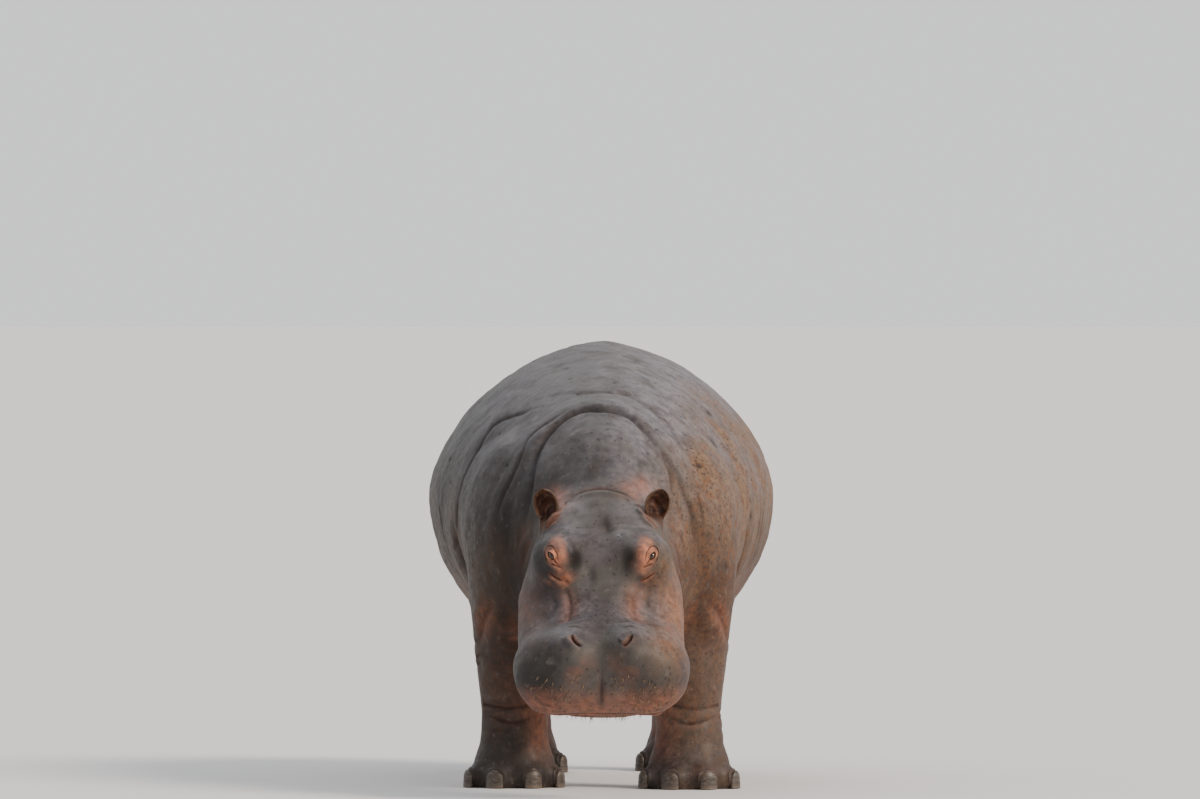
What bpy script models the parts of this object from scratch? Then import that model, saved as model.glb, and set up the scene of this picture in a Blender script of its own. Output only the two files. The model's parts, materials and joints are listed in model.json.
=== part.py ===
"""Life-size standing hippopotamus with its head lowered, as closed solids.

Metres, +Z up. The animal faces -Y, so its left side is +X. The soft body is one
surface, drawn from rounded forms that flow into each other, and is then parted
with thin cuts into the sub-parts that a person would name.
"""

import math
from dataclasses import dataclass

import bmesh
import bpy
import numpy as np
from mathutils import Matrix, Vector

# ---------------------------------------------------------------- driving sizes
BACK_HEIGHT = 1.45  # floor to the top of the loins
TRUNK_HALF_WIDTH = 0.573
EYE_HEIGHT = 0.788  # of the point midway between the eyes' sockets; the sunk eyes lie 1 cm lower
EYE_FORWARD = 0.78  # from the forefeet's line to that point
EYE_SPACING = 0.31
EYE_RADIUS = 0.020
EYE_SUNK = 0.014  # depth of the eye's middle under the skin
EYE_LOOK = Vector((0.50, 0.20, 0.62)).normalized()  # forward along the nose, outward, upward
HEAD_PITCH = math.radians(38)  # the muzzle hangs this far below level
FRONT_TRACK = 0.57  # between the centres of the forefeet
HIND_TRACK = 0.54
HIND_FEET_Y = 1.37
FORE_STAGGER = 0.05  # the left forefoot stands this far ahead, the right one behind
HIND_STAGGER = 0.06
ANKLE_HEIGHT = 0.13
GAP = 0.0004  # left by each cut
EAR_GAP = 0.001  # wider, as the sides of an ear's root are warped
SAME_POINT = 0.00003  # points nearer than this are one
VOXEL = 0.016  # of the surface before it is thinned out
FLESH_TRIANGLES = 2900  # of the soft body before it is parted

HEAD_ORIGIN = Vector((0.0, -EYE_FORWARD, EYE_HEIGHT))  # midway between the eyes
FORWARD = Vector((0.0, -math.cos(HEAD_PITCH), -math.sin(HEAD_PITCH)))
UP = Vector((0.0, -math.sin(HEAD_PITCH), math.cos(HEAD_PITCH)))
SIDE = Vector((1.0, 0.0, 0.0))
SIDES = {"left": 1, "right": -1}

SKIN_COLOUR = (0.20, 0.165, 0.155, 1.0)
NAIL_COLOUR = (0.10, 0.075, 0.06, 1.0)
EYE_COLOUR = (0.03, 0.015, 0.008, 1.0)


def frame_matrix(origin, along, across, upward):
    """A 4x4 matrix whose columns are three directions and an origin."""
    matrix = Matrix.Identity(4)
    for column, vector in enumerate((along, across, upward, origin)):
        matrix.col[column].xyz = vector
    return matrix


HEAD_FRAME = frame_matrix(HEAD_ORIGIN, FORWARD, SIDE, UP)
TRUNK_FRAME = frame_matrix((0, 0, 0), (0, 1, 0), (1, 0, 0), (0, 0, 1))


def flow(t, knots, values):
    """Values at t on a smooth curve through the knots that never overshoots them."""
    knots, values = np.asarray(knots, float), np.asarray(values, float)
    step = np.diff(knots)
    slope = np.diff(values) / step
    same_way = slope[1:] * slope[:-1] > 0
    inner = np.where(same_way, 2 * slope[1:] * slope[:-1] / np.where(same_way, slope[1:] + slope[:-1], 1), 0)
    tangent = np.concatenate([slope[:1], inner, slope[-1:]])
    i = np.clip(np.searchsorted(knots, t) - 1, 0, len(step) - 1)
    h = np.clip((t - knots[i]) / step[i], 0, 1)
    rise = values[i] * (1 + 2 * h) * (1 - h) ** 2 + values[i + 1] * h * h * (3 - 2 * h)
    return rise + step[i] * (tangent[i] * h * (1 - h) ** 2 - tangent[i + 1] * h * h * (1 - h))


@dataclass
class Blob:
    """An ellipsoid in a local frame: centre and radii along, across and upward."""

    frame: Matrix
    centre: tuple
    radii: tuple
    blend: float
    turn: float = 0.0  # about the frame's across axis, radians
    yaw: float = 0.0  # about the frame's upward axis, radians

    def matrix(self):
        turned = Matrix.Rotation(self.yaw, 4, "Z") @ Matrix.Rotation(self.turn, 4, "Y")
        return self.frame @ Matrix.Translation(self.centre) @ turned

    def distance(self, points):
        inverse = np.array(self.matrix().inverted())
        local = points @ inverse[:3, :3].T + inverse[:3, 3]
        radii = np.array(self.radii)
        near = np.linalg.norm(local / radii, axis=1)
        steep = np.linalg.norm(local / radii**2, axis=1)
        return near * (near - 1) / np.maximum(steep, 1e-9)

    def add_to(self, bm):
        grown = Matrix.Diagonal((*self.radii, 1.0))
        bmesh.ops.create_icosphere(bm, subdivisions=3, radius=1.0, matrix=self.matrix() @ grown)


@dataclass
class Loft:
    """A tube along a local frame's first axis, with a rounded section at each station.

    A station is (along, middle across, middle upward, half width, upward reach,
    downward reach). The caps are the depths of the rounded ends.
    """

    frame: Matrix
    stations: list
    blend: float
    caps: tuple = (0.05, 0.05)
    powers: tuple = (2.0, 2.0)  # of the upper and lower half of a section; 2 is an ellipse

    def section(self, t):
        knots, *columns = zip(*self.stations)
        return [flow(t, knots, column) for column in columns]

    def distance(self, points):
        inverse = np.array(self.frame.inverted())
        local = points @ inverse[:3, :3].T + inverse[:3, 3]
        t = np.clip(local[:, 0], self.stations[0][0], self.stations[-1][0])
        middle, level, half_width, above, below = self.section(t)
        high = local[:, 2] >= level
        reach = np.where(high, above, below)
        power = np.where(high, *self.powers)
        across = np.abs(local[:, 1] - middle) / half_width
        upward = np.abs(local[:, 2] - level) / reach
        ring = (across**power + upward**power) ** (1 / power)
        past = local[:, 0] - t
        cap = np.where(past < 0, *self.caps)
        return (np.hypot(ring, past / cap) - 1) * np.minimum(half_width, reach)

    def add_to(self, bm, rings=28, sides=32, cap_rings=4):
        first, last = self.stations[0][0], self.stations[-1][0]
        turns = [math.pi / 2 * k / cap_rings for k in range(1, cap_rings)]
        places = [(first, -self.caps[0] * math.sin(a), math.cos(a)) for a in reversed(turns)]
        places += [(along, 0.0, 1.0) for along in np.linspace(first, last, rings)]
        places += [(last, self.caps[1] * math.sin(a), math.cos(a)) for a in turns]
        loops = []
        for along, past, share in places:
            middle, level, half_width, above, below = (float(v[0]) for v in self.section(np.array([along])))
            loop = []
            for k in range(sides):
                c, s = math.cos(math.tau * k / sides), math.sin(math.tau * k / sides)
                reach, power = (above, self.powers[0]) if s >= 0 else (below, self.powers[1])
                across = middle + share * half_width * math.copysign(abs(c) ** (2 / power), c)
                upward = level + share * reach * math.copysign(abs(s) ** (2 / power), s)
                loop.append(bm.verts.new(self.frame @ Vector((along + past, across, upward))))
            loops.append(loop)
        for near, far in zip(loops, loops[1:]):
            for k in range(sides):
                bm.faces.new((near[k], near[(k + 1) % sides], far[(k + 1) % sides], far[k]))
        bm.faces.new(loops[0])
        bm.faces.new(list(reversed(loops[-1])))


# ---------------------------------------------------------------- the soft body
def trunk_forms():
    """Barrel of the body, from the shoulders to the buttocks, and the neck."""
    widest = 0.937  # height of the broadest level of the belly
    # (y, half width, top, broadest level, bottom)
    lines = [
        (-0.20, 0.362, 1.240, 0.84, 0.430),
        (-0.06, 0.420, 1.285, 0.86, 0.410),
        (0.12, 0.462, 1.330, 0.88, 0.400),
        (0.35, 0.512, 1.380, 0.915, 0.388),
        (0.65, 0.558, 1.430, 0.93, 0.375),
        (0.95, TRUNK_HALF_WIDTH, BACK_HEIGHT, widest, 0.375),
        (1.25, 0.555, 1.425, widest, 0.410),
        (1.50, 0.495, 1.345, 0.93, 0.480),
        (1.66, 0.405, 1.245, 0.92, 0.560),
        (1.77, 0.290, 1.145, 0.92, 0.660),
        (1.84, 0.160, 1.045, 0.92, 0.780),
    ]
    barrel = [(y, 0.0, level, half, top - level, level - low) for y, half, top, level, low in lines]
    collar = [
        (-0.74, 0.0, 0.66, 0.165, 0.180, 0.21),
        (-0.60, 0.0, 0.68, 0.198, 0.270, 0.26),
        (-0.46, 0.0, 0.72, 0.232, 0.350, 0.30),
        (-0.34, 0.0, 0.76, 0.286, 0.420, 0.34),
        (-0.22, 0.0, 0.80, 0.334, 0.432, 0.38),
        (-0.06, 0.0, 0.84, 0.372, 0.405, 0.40),
    ]
    forms = [
        Loft(TRUNK_FRAME, barrel, 0.05, caps=(0.15, 0.03), powers=(1.72, 1.92)),
        Loft(TRUNK_FRAME, collar, 0.035, caps=(0.08, 0.1), powers=(2.0, 2.1)),
    ]
    for sign in SIDES.values():
        forms += [
            Blob(TRUNK_FRAME, (0.00, sign * 0.290, 0.80), (0.23, 0.142, 0.34), 0.06),
            Blob(TRUNK_FRAME, (1.40, sign * 0.315, 0.80), (0.30, 0.150, 0.34), 0.08),
        ]
    return forms


def orbit(sign):
    """Centre and radii of the raised socket of one eye."""
    return (0.010, sign * (EYE_SPACING / 2 - 0.012), -0.016), (0.090, 0.074, 0.062)


def head_forms():
    """Skull, muzzle, cheeks and jaw, in the head's frame: along the nose, across, upward."""
    skull = [
        (-0.26, 0.0, -0.105, 0.180, 0.105, 0.20),
        (-0.13, 0.0, -0.10, 0.188, 0.126, 0.20),
        (0.00, 0.0, -0.10, 0.168, 0.108, 0.19),
        (0.11, 0.0, -0.11, 0.128, 0.088, 0.16),
        (0.21, 0.0, -0.12, 0.118, 0.085, 0.14),
        (0.32, 0.0, -0.13, 0.132, 0.102, 0.14),
        (0.41, 0.0, -0.13, 0.150, 0.106, 0.14),
    ]
    cheeks = [
        (-0.27, 0.0, -0.24, 0.190, 0.150, 0.15),
        (-0.14, 0.0, -0.21, 0.235, 0.165, 0.18),
        (0.00, 0.0, -0.20, 0.260, 0.170, 0.17),
        (0.14, 0.0, -0.20, 0.262, 0.140, 0.14),
        (0.26, 0.0, -0.19, 0.266, 0.125, 0.13),
        (0.36, 0.0, -0.18, 0.272, 0.125, 0.13),
        (0.43, 0.0, -0.17, 0.258, 0.115, 0.12),
    ]
    jaw = [
        (-0.20, 0.0, -0.31, 0.170, 0.12, 0.110),
        (-0.05, 0.0, -0.32, 0.175, 0.12, 0.112),
        (0.12, 0.0, -0.315, 0.165, 0.10, 0.088),
        (0.26, 0.0, -0.305, 0.182, 0.08, 0.072),
        (0.36, 0.0, -0.300, 0.195, 0.06, 0.062),
    ]
    forms = [
        Loft(HEAD_FRAME, skull, 0.05, caps=(0.1, 0.085), powers=(2.4, 2.4)),
        Loft(HEAD_FRAME, cheeks, 0.045, caps=(0.1, 0.105), powers=(2.2, 2.4)),
        Loft(HEAD_FRAME, jaw, 0.03, caps=(0.1, 0.085), powers=(2.3, 2.5)),
        Blob(HEAD_FRAME, (-0.27, 0.0, -0.27), (0.17, 0.19, 0.18), 0.06),
    ]
    for sign in SIDES.values():
        forms += [
            Blob(HEAD_FRAME, (0.40, sign * 0.155, -0.165), (0.130, 0.106, 0.128), 0.05),
            Blob(HEAD_FRAME, (0.422, sign * 0.086, -0.054), (0.080, 0.052, 0.042), 0.065),
            Blob(HEAD_FRAME, *orbit(sign), 0.085),
            Blob(HEAD_FRAME, (-0.175, sign * 0.150, -0.024), (0.045, 0.042, 0.045), 0.055),
        ]
    return forms


def leg_frame(x, y):
    """Stands a loft's first axis upright over a point of the floor; its third points back."""
    return frame_matrix((x, y, 0), (0, 0, 1), (1, 0, 0), (0, 1, 0))


def leg_forms(x, y, stagger, stations):
    """One leg and its four toes. stations: (height, shift outward, shift back, half width, rear, front)."""
    top = stations[-1][0]
    sign = math.copysign(1, x)
    frame = leg_frame(x, y)
    leaning = [
        (z, sign * out, back - stagger * max(0.0, 1 - z / top), half, rear, front)
        for z, out, back, half, rear, front in stations
    ]
    return [Loft(frame, leaning, 0.05, caps=(0.05, 0.10), powers=(2.1, 2.1))]


FORE_STATIONS = [
    (-0.03, 0.0, 0.0, 0.120, 0.108, 0.128),
    (0.03, 0.0, 0.0, 0.136, 0.122, 0.142),
    (0.08, 0.0, 0.0, 0.132, 0.116, 0.130),
    (0.15, 0.0, 0.005, 0.112, 0.106, 0.110),
    (0.23, -0.003, 0.01, 0.107, 0.108, 0.106),
    (0.33, -0.008, 0.015, 0.120, 0.132, 0.122),
    (0.46, -0.015, 0.02, 0.143, 0.175, 0.158),
    (0.62, -0.022, 0.02, 0.160, 0.220, 0.195),
    (0.78, -0.040, 0.03, 0.152, 0.200, 0.190),
]
HIND_STATIONS = [
    (-0.03, 0.0, 0.0, 0.110, 0.102, 0.120),
    (0.03, 0.0, 0.0, 0.126, 0.115, 0.134),
    (0.08, 0.0, 0.0, 0.120, 0.110, 0.120),
    (0.15, 0.0, 0.015, 0.102, 0.100, 0.100),
    (0.25, 0.004, 0.04, 0.100, 0.108, 0.106),
    (0.36, 0.006, 0.03, 0.120, 0.135, 0.150),
    (0.50, 0.006, 0.00, 0.146, 0.195, 0.230),
    (0.68, 0.000, 0.00, 0.172, 0.260, 0.275),
    (0.86, -0.005, 0.00, 0.165, 0.240, 0.230),
]


@dataclass
class Limb:
    """Where one leg stands, and its stations."""

    name: str
    x: float
    y: float
    stagger: float
    stations: list
    toe_reach: float

    @property
    def foot(self):
        return Vector((self.x, self.y - self.stagger, 0.0))


LIMBS = []
for side_name, side in SIDES.items():
    LIMBS.append(Limb(f"front_{side_name}", side * FRONT_TRACK / 2, 0.0, side * FORE_STAGGER, FORE_STATIONS, 0.116))
    LIMBS.append(Limb(f"hind_{side_name}", side * HIND_TRACK / 2, HIND_FEET_Y, -side * HIND_STAGGER, HIND_STATIONS, 0.106))

TOE_ANGLES = [math.radians(a) for a in (-68, -23, 23, 68)]


def toe_frame(limb, angle):
    """A frame at a toe's middle: outward from the foot's middle, sideways, up."""
    outward = Vector((math.sin(angle), -math.cos(angle), 0.0))
    across = Vector((0, 0, 1)).cross(outward)
    origin = limb.foot + outward * limb.toe_reach + Vector((0, 0, 0.032))
    return frame_matrix(origin, outward, across, (0, 0, 1))


def toe_forms(limb):
    return [Blob(toe_frame(limb, angle), (0, 0, 0), (0.056, 0.044, 0.042), 0.028) for angle in TOE_ANGLES]


def tail_forms():
    """A short flattened tail that hangs from the top of the buttocks."""
    frame = frame_matrix((0, 0, 0), (0, 0, -1), (1, 0, 0), (0, 1, 0))
    stations = [
        (-1.17, 0.0, 1.70, 0.075, 0.060, 0.070),
        (-1.08, 0.0, 1.85, 0.058, 0.046, 0.058),
        (-0.97, 0.0, 1.940, 0.046, 0.028, 0.030),
        (-0.80, 0.0, 1.975, 0.036, 0.018, 0.018),
        (-0.64, 0.0, 1.975, 0.024, 0.012, 0.012),
    ]
    return [Loft(frame, stations, 0.03, caps=(0.03, 0.03))]


def all_forms():
    forms = trunk_forms() + head_forms() + tail_forms()
    for limb in LIMBS:
        forms += leg_forms(limb.x, limb.y, limb.stagger, limb.stations)
        forms += toe_forms(limb)
    return forms


def blended(points, forms):
    """Signed distance to the forms flowed into one another; each form brings its own fillet."""
    field = forms[0].distance(points)
    for form in forms[1:]:
        other = form.distance(points)
        share = np.clip(0.5 + 0.5 * (other - field) / form.blend, 0, 1)
        field = other * (1 - share) + field * share - form.blend * share * (1 - share)
    return field


def settle(points, forms, rounds=4, probe=0.001):
    """Moves points onto the blended surface along its slope."""
    for _ in range(rounds):
        field = blended(points, forms)
        slope = np.stack([(blended(points + probe * axis, forms) - field) / probe for axis in np.eye(3)], 1)
        steep = np.maximum((slope**2).sum(1), 0.05)
        points = points - np.clip(field / steep, -0.03, 0.03)[:, None] * slope
    return points


# ---------------------------------------------------------------- mesh helpers
def new_object(name, mesh):
    obj = bpy.data.objects.new(name, mesh)
    bpy.context.collection.objects.link(obj)
    return obj


def mesh_from(name, build):
    """A mesh that the function build draws into a bmesh."""
    bm = bmesh.new()
    build(bm)
    bmesh.ops.recalc_face_normals(bm, faces=bm.faces)
    bmesh.ops.triangulate(bm, faces=bm.faces)
    mesh = bpy.data.meshes.new(name)
    bm.to_mesh(mesh)
    bm.free()
    return mesh


def baked(obj):
    """Replaces the object's mesh by what its modifiers make of it."""
    graph = bpy.context.evaluated_depsgraph_get()
    mesh = bpy.data.meshes.new_from_object(obj.evaluated_get(graph))
    obj.modifiers.clear()
    obj.data = mesh
    return obj


def coordinates(mesh):
    points = np.empty(len(mesh.vertices) * 3)
    mesh.vertices.foreach_get("co", points)
    return points.reshape(-1, 3)


def whole_flesh():
    """The soft body as one closed mesh: overlapping forms remeshed to one skin and settled."""
    forms = all_forms()

    def draw(bm):
        for form in forms:
            form.add_to(bm)

    flesh = new_object("flesh", mesh_from("flesh", draw))
    remesh = flesh.modifiers.new("one_skin", "REMESH")
    remesh.mode = "VOXEL"
    remesh.voxel_size = VOXEL
    baked(flesh)
    settled = settle(coordinates(flesh.data), forms)
    flesh.data.vertices.foreach_set("co", settled.ravel())
    return flesh


def thinned(flesh):
    """Leaves FLESH_TRIANGLES on the soft body, closest together on the head and the tail."""
    points = coordinates(flesh.data)
    plain = flesh.vertex_groups.new(name="plain")
    fine = (points[:, 1] < -0.5) | (points[:, 1] > 1.89)
    plain.add(np.flatnonzero(fine).tolist(), 0.97, "REPLACE")
    plain.add(np.flatnonzero(~fine).tolist(), 1.0, "REPLACE")
    flesh.data.calc_loop_triangles()
    thin = flesh.modifiers.new("thinned", "DECIMATE")
    thin.ratio = FLESH_TRIANGLES / len(flesh.data.loop_triangles)
    thin.vertex_group = plain.name
    return baked(flesh)


# ---------------------------------------------------------------- parting the soft body
def offset_outline(outline, reach):
    """Moves each side of a closed outline outward by the reach."""
    count = len(outline)
    points = [Vector(point) for point in outline]
    turning = sum(points[k - 1].x * points[k].y - points[k].x * points[k - 1].y for k in range(count))
    moved = []
    for k, point in enumerate(points):
        before = (point - points[k - 1]).normalized()
        after = (points[(k + 1) % count] - point).normalized()
        normals = [Vector((d.y, -d.x)) * math.copysign(1, turning) for d in (before, after)]
        middle = (normals[0] + normals[1]).normalized()
        moved.append(point + middle * reach / middle.dot(normals[0]))
    return moved


@dataclass
class Cell:
    """A prism that takes a sub-part out of the soft body.

    The outline lies in the frame's first and third axes; the prism runs along the second.
    """

    frame: Matrix
    outline: list
    start: float
    end: float

    def draw(self, bm, grow=0.0):
        rows = []
        for depth in (self.start - grow, self.end + grow):
            rim = offset_outline(self.outline, grow) if grow else [Vector(p) for p in self.outline]
            rows.append([bm.verts.new(self.frame @ Vector((p.x, depth, p.y))) for p in rim])
        count = len(self.outline)
        for k in range(count):
            after = (k + 1) % count
            bm.faces.new((rows[0][k], rows[0][after], rows[1][after], rows[1][k]))
        bm.faces.new(rows[0])
        bm.faces.new(list(reversed(rows[1])))


def cutter(name, draw, grow=0.0):
    """A hidden solid for Booleans; draw takes a bmesh and how much to grow."""
    tool = new_object(name, mesh_from(name, lambda bm: draw(bm, grow)))
    tool.hide_render = True
    tool.display_type = "WIRE"
    return tool


def connected(bm):
    """The mesh's points, in one set for each body."""
    groups, waiting = [], set(bm.verts)
    while waiting:
        front = [waiting.pop()]
        group = set(front)
        while front:
            for edge in front.pop().link_edges:
                for vert in edge.verts:
                    if vert in waiting:
                        waiting.discard(vert)
                        group.add(vert)
                        front.append(vert)
        groups.append(group)
    return groups


def boolean(obj, tool, operation):
    """Applies one exact Boolean, removes the tool and closes up points that coincide."""
    step = obj.modifiers.new(operation.lower(), "BOOLEAN")
    step.operation = operation
    step.solver = "EXACT"
    step.object = tool
    baked(obj)
    bpy.data.objects.remove(tool)
    bm = bmesh.new()
    bm.from_mesh(obj.data)
    bmesh.ops.remove_doubles(bm, verts=bm.verts, dist=SAME_POINT)
    bmesh.ops.dissolve_degenerate(bm, edges=bm.edges, dist=SAME_POINT)
    bmesh.ops.triangulate(bm, faces=bm.faces)
    groups = connected(bm)
    crumbs = [vert for group in groups if group is not max(groups, key=len) for vert in group]
    bmesh.ops.delete(bm, geom=crumbs, context="VERTS")
    bm.to_mesh(obj.data)
    bm.free()
    return obj


def part_off(source, name, cell):
    """Takes a named piece out of the source, leaving a gap between the two."""
    piece = new_object(name, source.data.copy())
    boolean(piece, cutter(f"{name}_cell", cell.draw), "INTERSECT")
    boolean(source, cutter(f"{name}_gap", cell.draw, GAP), "DIFFERENCE")
    return piece


def seated(host, name, draw, gap=GAP):
    """A separate solid with a pocket for it in its host."""
    boolean(host, cutter(f"{name}_pocket", draw, gap), "DIFFERENCE")
    return new_object(name, mesh_from(name, lambda bm: draw(bm, 0.0)))


def floor_cell():
    return Cell(TRUNK_FRAME, [(-2, -1), (3, -1), (3, 0), (-2, 0)], -1.0, 1.0)


def jaw_cell():
    outline = [(0.60, -0.275), (0.14, -0.225), (-0.02, -0.27), (-0.02, -0.60), (0.60, -0.60)]
    return Cell(HEAD_FRAME, outline, -0.35, 0.35)


def head_cell():
    return Cell(HEAD_FRAME, [(-0.28, 0.14), (0.007, -0.56), (0.80, -0.56), (0.80, 0.14)], -0.5, 0.5)


def neck_cell():
    return Cell(TRUNK_FRAME, [(-0.215, 1.30), (-0.305, 0.30), (-1.3, 0.30), (-1.3, 1.30)], -0.6, 0.6)


def tail_cell():
    outline = [(1.895, 1.12), (1.915, 1.00), (1.918, 0.50), (2.2, 0.50), (2.2, 1.12)]
    return Cell(TRUNK_FRAME, outline, -0.09, 0.09)


def leg_cell(limb, sides=12):
    """An upright oval block round a leg, up to where it leaves the body."""
    half_width, half_length, top = (0.205, 0.255, 0.56) if limb.name.startswith("front") else (0.22, 0.285, 0.60)
    frame = frame_matrix((limb.x, limb.y - limb.stagger / 2, 0), (1, 0, 0), (0, 0, 1), (0, 1, 0))
    turns = [math.tau * k / sides for k in range(sides)]
    outline = [(half_width * math.cos(a), half_length * math.sin(a)) for a in turns]
    return Cell(frame, outline, -0.1, top)


def foot_cell(limb):
    frame = frame_matrix((limb.x, limb.y, 0), (1, 0, 0), (0, 0, 1), (0, 1, 0))
    return Cell(frame, [(-0.4, -0.5), (0.4, -0.5), (0.4, 0.5), (-0.4, 0.5)], -0.1, ANKLE_HEIGHT)


# ---------------------------------------------------------------- ears, eyes, nails
def ball(bm, place, radii, grow):
    """An ellipsoid with each half axis grown by the same amount."""
    grown = Matrix.Diagonal((*(r + grow for r in radii), 1.0))
    bmesh.ops.create_icosphere(bm, subdivisions=2, radius=1.0, matrix=place @ grown)


def eye_middle(sign):
    """The eye's centre: sunk under the skin where the socket's dome looks out, up and forward."""
    centre, radii = orbit(sign)
    start = Vector(centre) + Vector((EYE_LOOK.x, sign * EYE_LOOK.y, EYE_LOOK.z)) * (max(radii) + 0.01)
    forms = all_forms()
    point = settle(np.array([HEAD_FRAME @ start]), forms, rounds=8)
    field = blended(point, forms)
    slope = np.array([float((blended(point + 0.001 * axis, forms) - field)[0]) for axis in np.eye(3)])
    return Vector(point[0]) - Vector(slope).normalized() * EYE_SUNK


def draw_eye(sign):
    place = Matrix.Translation(eye_middle(sign))
    return lambda bm, grow: ball(bm, place, (EYE_RADIUS,) * 3, grow)


def draw_nail(limb, angle):
    place = toe_frame(limb, angle) @ Matrix.Translation((0.038, 0, 0.002))
    return lambda bm, grow: ball(bm, place, (0.024, 0.030, 0.024), grow)


def ear_frame(sign):
    """Origin at the ear's root; axes towards its opening, across its width and along its rise."""
    root = HEAD_FRAME @ Vector((-0.17, sign * 0.170, -0.02))
    rise = Vector((sign * 0.16, 0.02, 1.0)).normalized()
    facing = Vector((sign * 0.38, -1.0, 0.0))
    facing = (facing - rise * facing.dot(rise)).normalized()
    return frame_matrix(root, facing, rise.cross(facing), rise)


def draw_ear(sign, arc_points=8):
    """A rounded cup on a stalk: rings that open from an oval into a crescent."""
    # (height, half width, depth of the back, how far the front has opened)
    rings = [
        (-0.040, 0.021, 0.018, 0.0),
        (0.002, 0.025, 0.021, 0.0),
        (0.020, 0.032, 0.026, 0.5),
        (0.042, 0.0370, 0.029, 1.0),
        (0.064, 0.0370, 0.027, 1.0),
        (0.084, 0.0320, 0.021, 1.0),
        (0.098, 0.0220, 0.014, 1.0),
        (0.105, 0.0110, 0.008, 1.0),
    ]
    wall, front = 0.008, 0.018
    frame = ear_frame(sign)

    def draw(bm, grow):
        loops = []
        for height, half, depth, opened in rings:
            opened = 0.0 if grow else opened  # the pocket for the ear leaves its hollow clear
            loop = []
            for k in range(arc_points):
                a = math.pi * k / (arc_points - 1)
                across, back = (half + grow) * math.cos(a), (depth + grow) * math.sin(a)
                loop.append(bm.verts.new(frame @ Vector((-back, across, height))))
            for k in range(1, arc_points - 1):
                a = math.pi - math.pi * k / (arc_points - 1)
                hollow = -(depth - wall) * opened if depth > wall else 0.0
                ahead = (hollow + (front + grow) * (1 - opened)) * math.sin(a)
                across = (half + grow - wall * opened * min(1, half / 0.03)) * math.cos(a)
                loop.append(bm.verts.new(frame @ Vector((ahead, across, height))))
            loops.append(loop)
        for near, far in zip(loops, loops[1:]):
            for k, corner in enumerate(near):
                after = (k + 1) % len(near)
                bm.faces.new((corner, near[after], far[after], far[k]))
        bm.faces.new(loops[0])
        bm.faces.new(list(reversed(loops[-1])))

    return draw


# ---------------------------------------------------------------- the whole animal
def finish(obj, colour, roughness):
    """Gives a piece its own material and soft shading."""
    material = bpy.data.materials.new(f"{obj.name}_finish")
    material.use_nodes = True
    shader = material.node_tree.nodes["Principled BSDF"]
    shader.inputs["Base Color"].default_value = colour
    shader.inputs["Roughness"].default_value = roughness
    obj.data.materials.clear()
    obj.data.materials.append(material)
    obj.data.shade_smooth()
    obj.data.set_sharp_from_angle(angle=math.radians(50))


def stand_at_origin(pieces):
    """Moves every piece so that the box round them all has its bottom centre at the origin."""
    points = np.concatenate([coordinates(piece.data) for piece in pieces])
    low, high = points.min(0), points.max(0)
    shift = Matrix.Translation((-(low[0] + high[0]) / 2, -(low[1] + high[1]) / 2, -low[2]))
    for piece in pieces:
        piece.data.transform(shift)


def build():
    for obj in list(bpy.data.objects):
        bpy.data.objects.remove(obj)
    trunk = thinned(whole_flesh())
    trunk.name = "trunk"
    boolean(trunk, cutter("floor", floor_cell().draw), "DIFFERENCE")
    jaw = part_off(trunk, "jaw", jaw_cell())
    head = part_off(trunk, "head", head_cell())
    skin = [trunk, jaw, head, part_off(trunk, "neck", neck_cell()), part_off(trunk, "tail", tail_cell())]
    nails, eyes = [], []
    for limb in LIMBS:
        leg = part_off(trunk, f"leg_{limb.name}", leg_cell(limb))
        foot = part_off(leg, f"foot_{limb.name}", foot_cell(limb))
        skin += [leg, foot]
        for number, angle in enumerate(TOE_ANGLES, 1):
            nails.append(seated(foot, f"nail_{limb.name}_{number}", draw_nail(limb, angle)))
    for name, sign in SIDES.items():
        skin.append(seated(head, f"ear_{name}", draw_ear(sign), EAR_GAP))
        eyes.append(seated(head, f"eye_{name}", draw_eye(sign)))
    for pieces, colour, roughness in (
        (skin, SKIN_COLOUR, 0.55),
        (nails, NAIL_COLOUR, 0.4),
        (eyes, EYE_COLOUR, 0.1),
    ):
        for piece in pieces:
            finish(piece, colour, roughness)
    stand_at_origin(skin + nails + eyes)


if __name__ == "__main__":
    build()
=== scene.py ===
"""Looks of a life-size still hippopotamus that stands on four feet with its head lowered.

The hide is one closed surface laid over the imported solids. Its folds, eyelids, lips, nostrils
and ears are modelled in the mesh. Eyes, toenails and bristles are pieces of their own.
Lengths are metres, +Z is up, the animal faces -Y and its left side is +X.
"""

from __future__ import annotations

import json
import logging
import math
from dataclasses import dataclass, field, replace
from enum import Enum
from itertools import product
from typing import Callable, Optional, Sequence

import bmesh
import bpy
import numpy as np
from mathutils import Matrix, Vector

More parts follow.
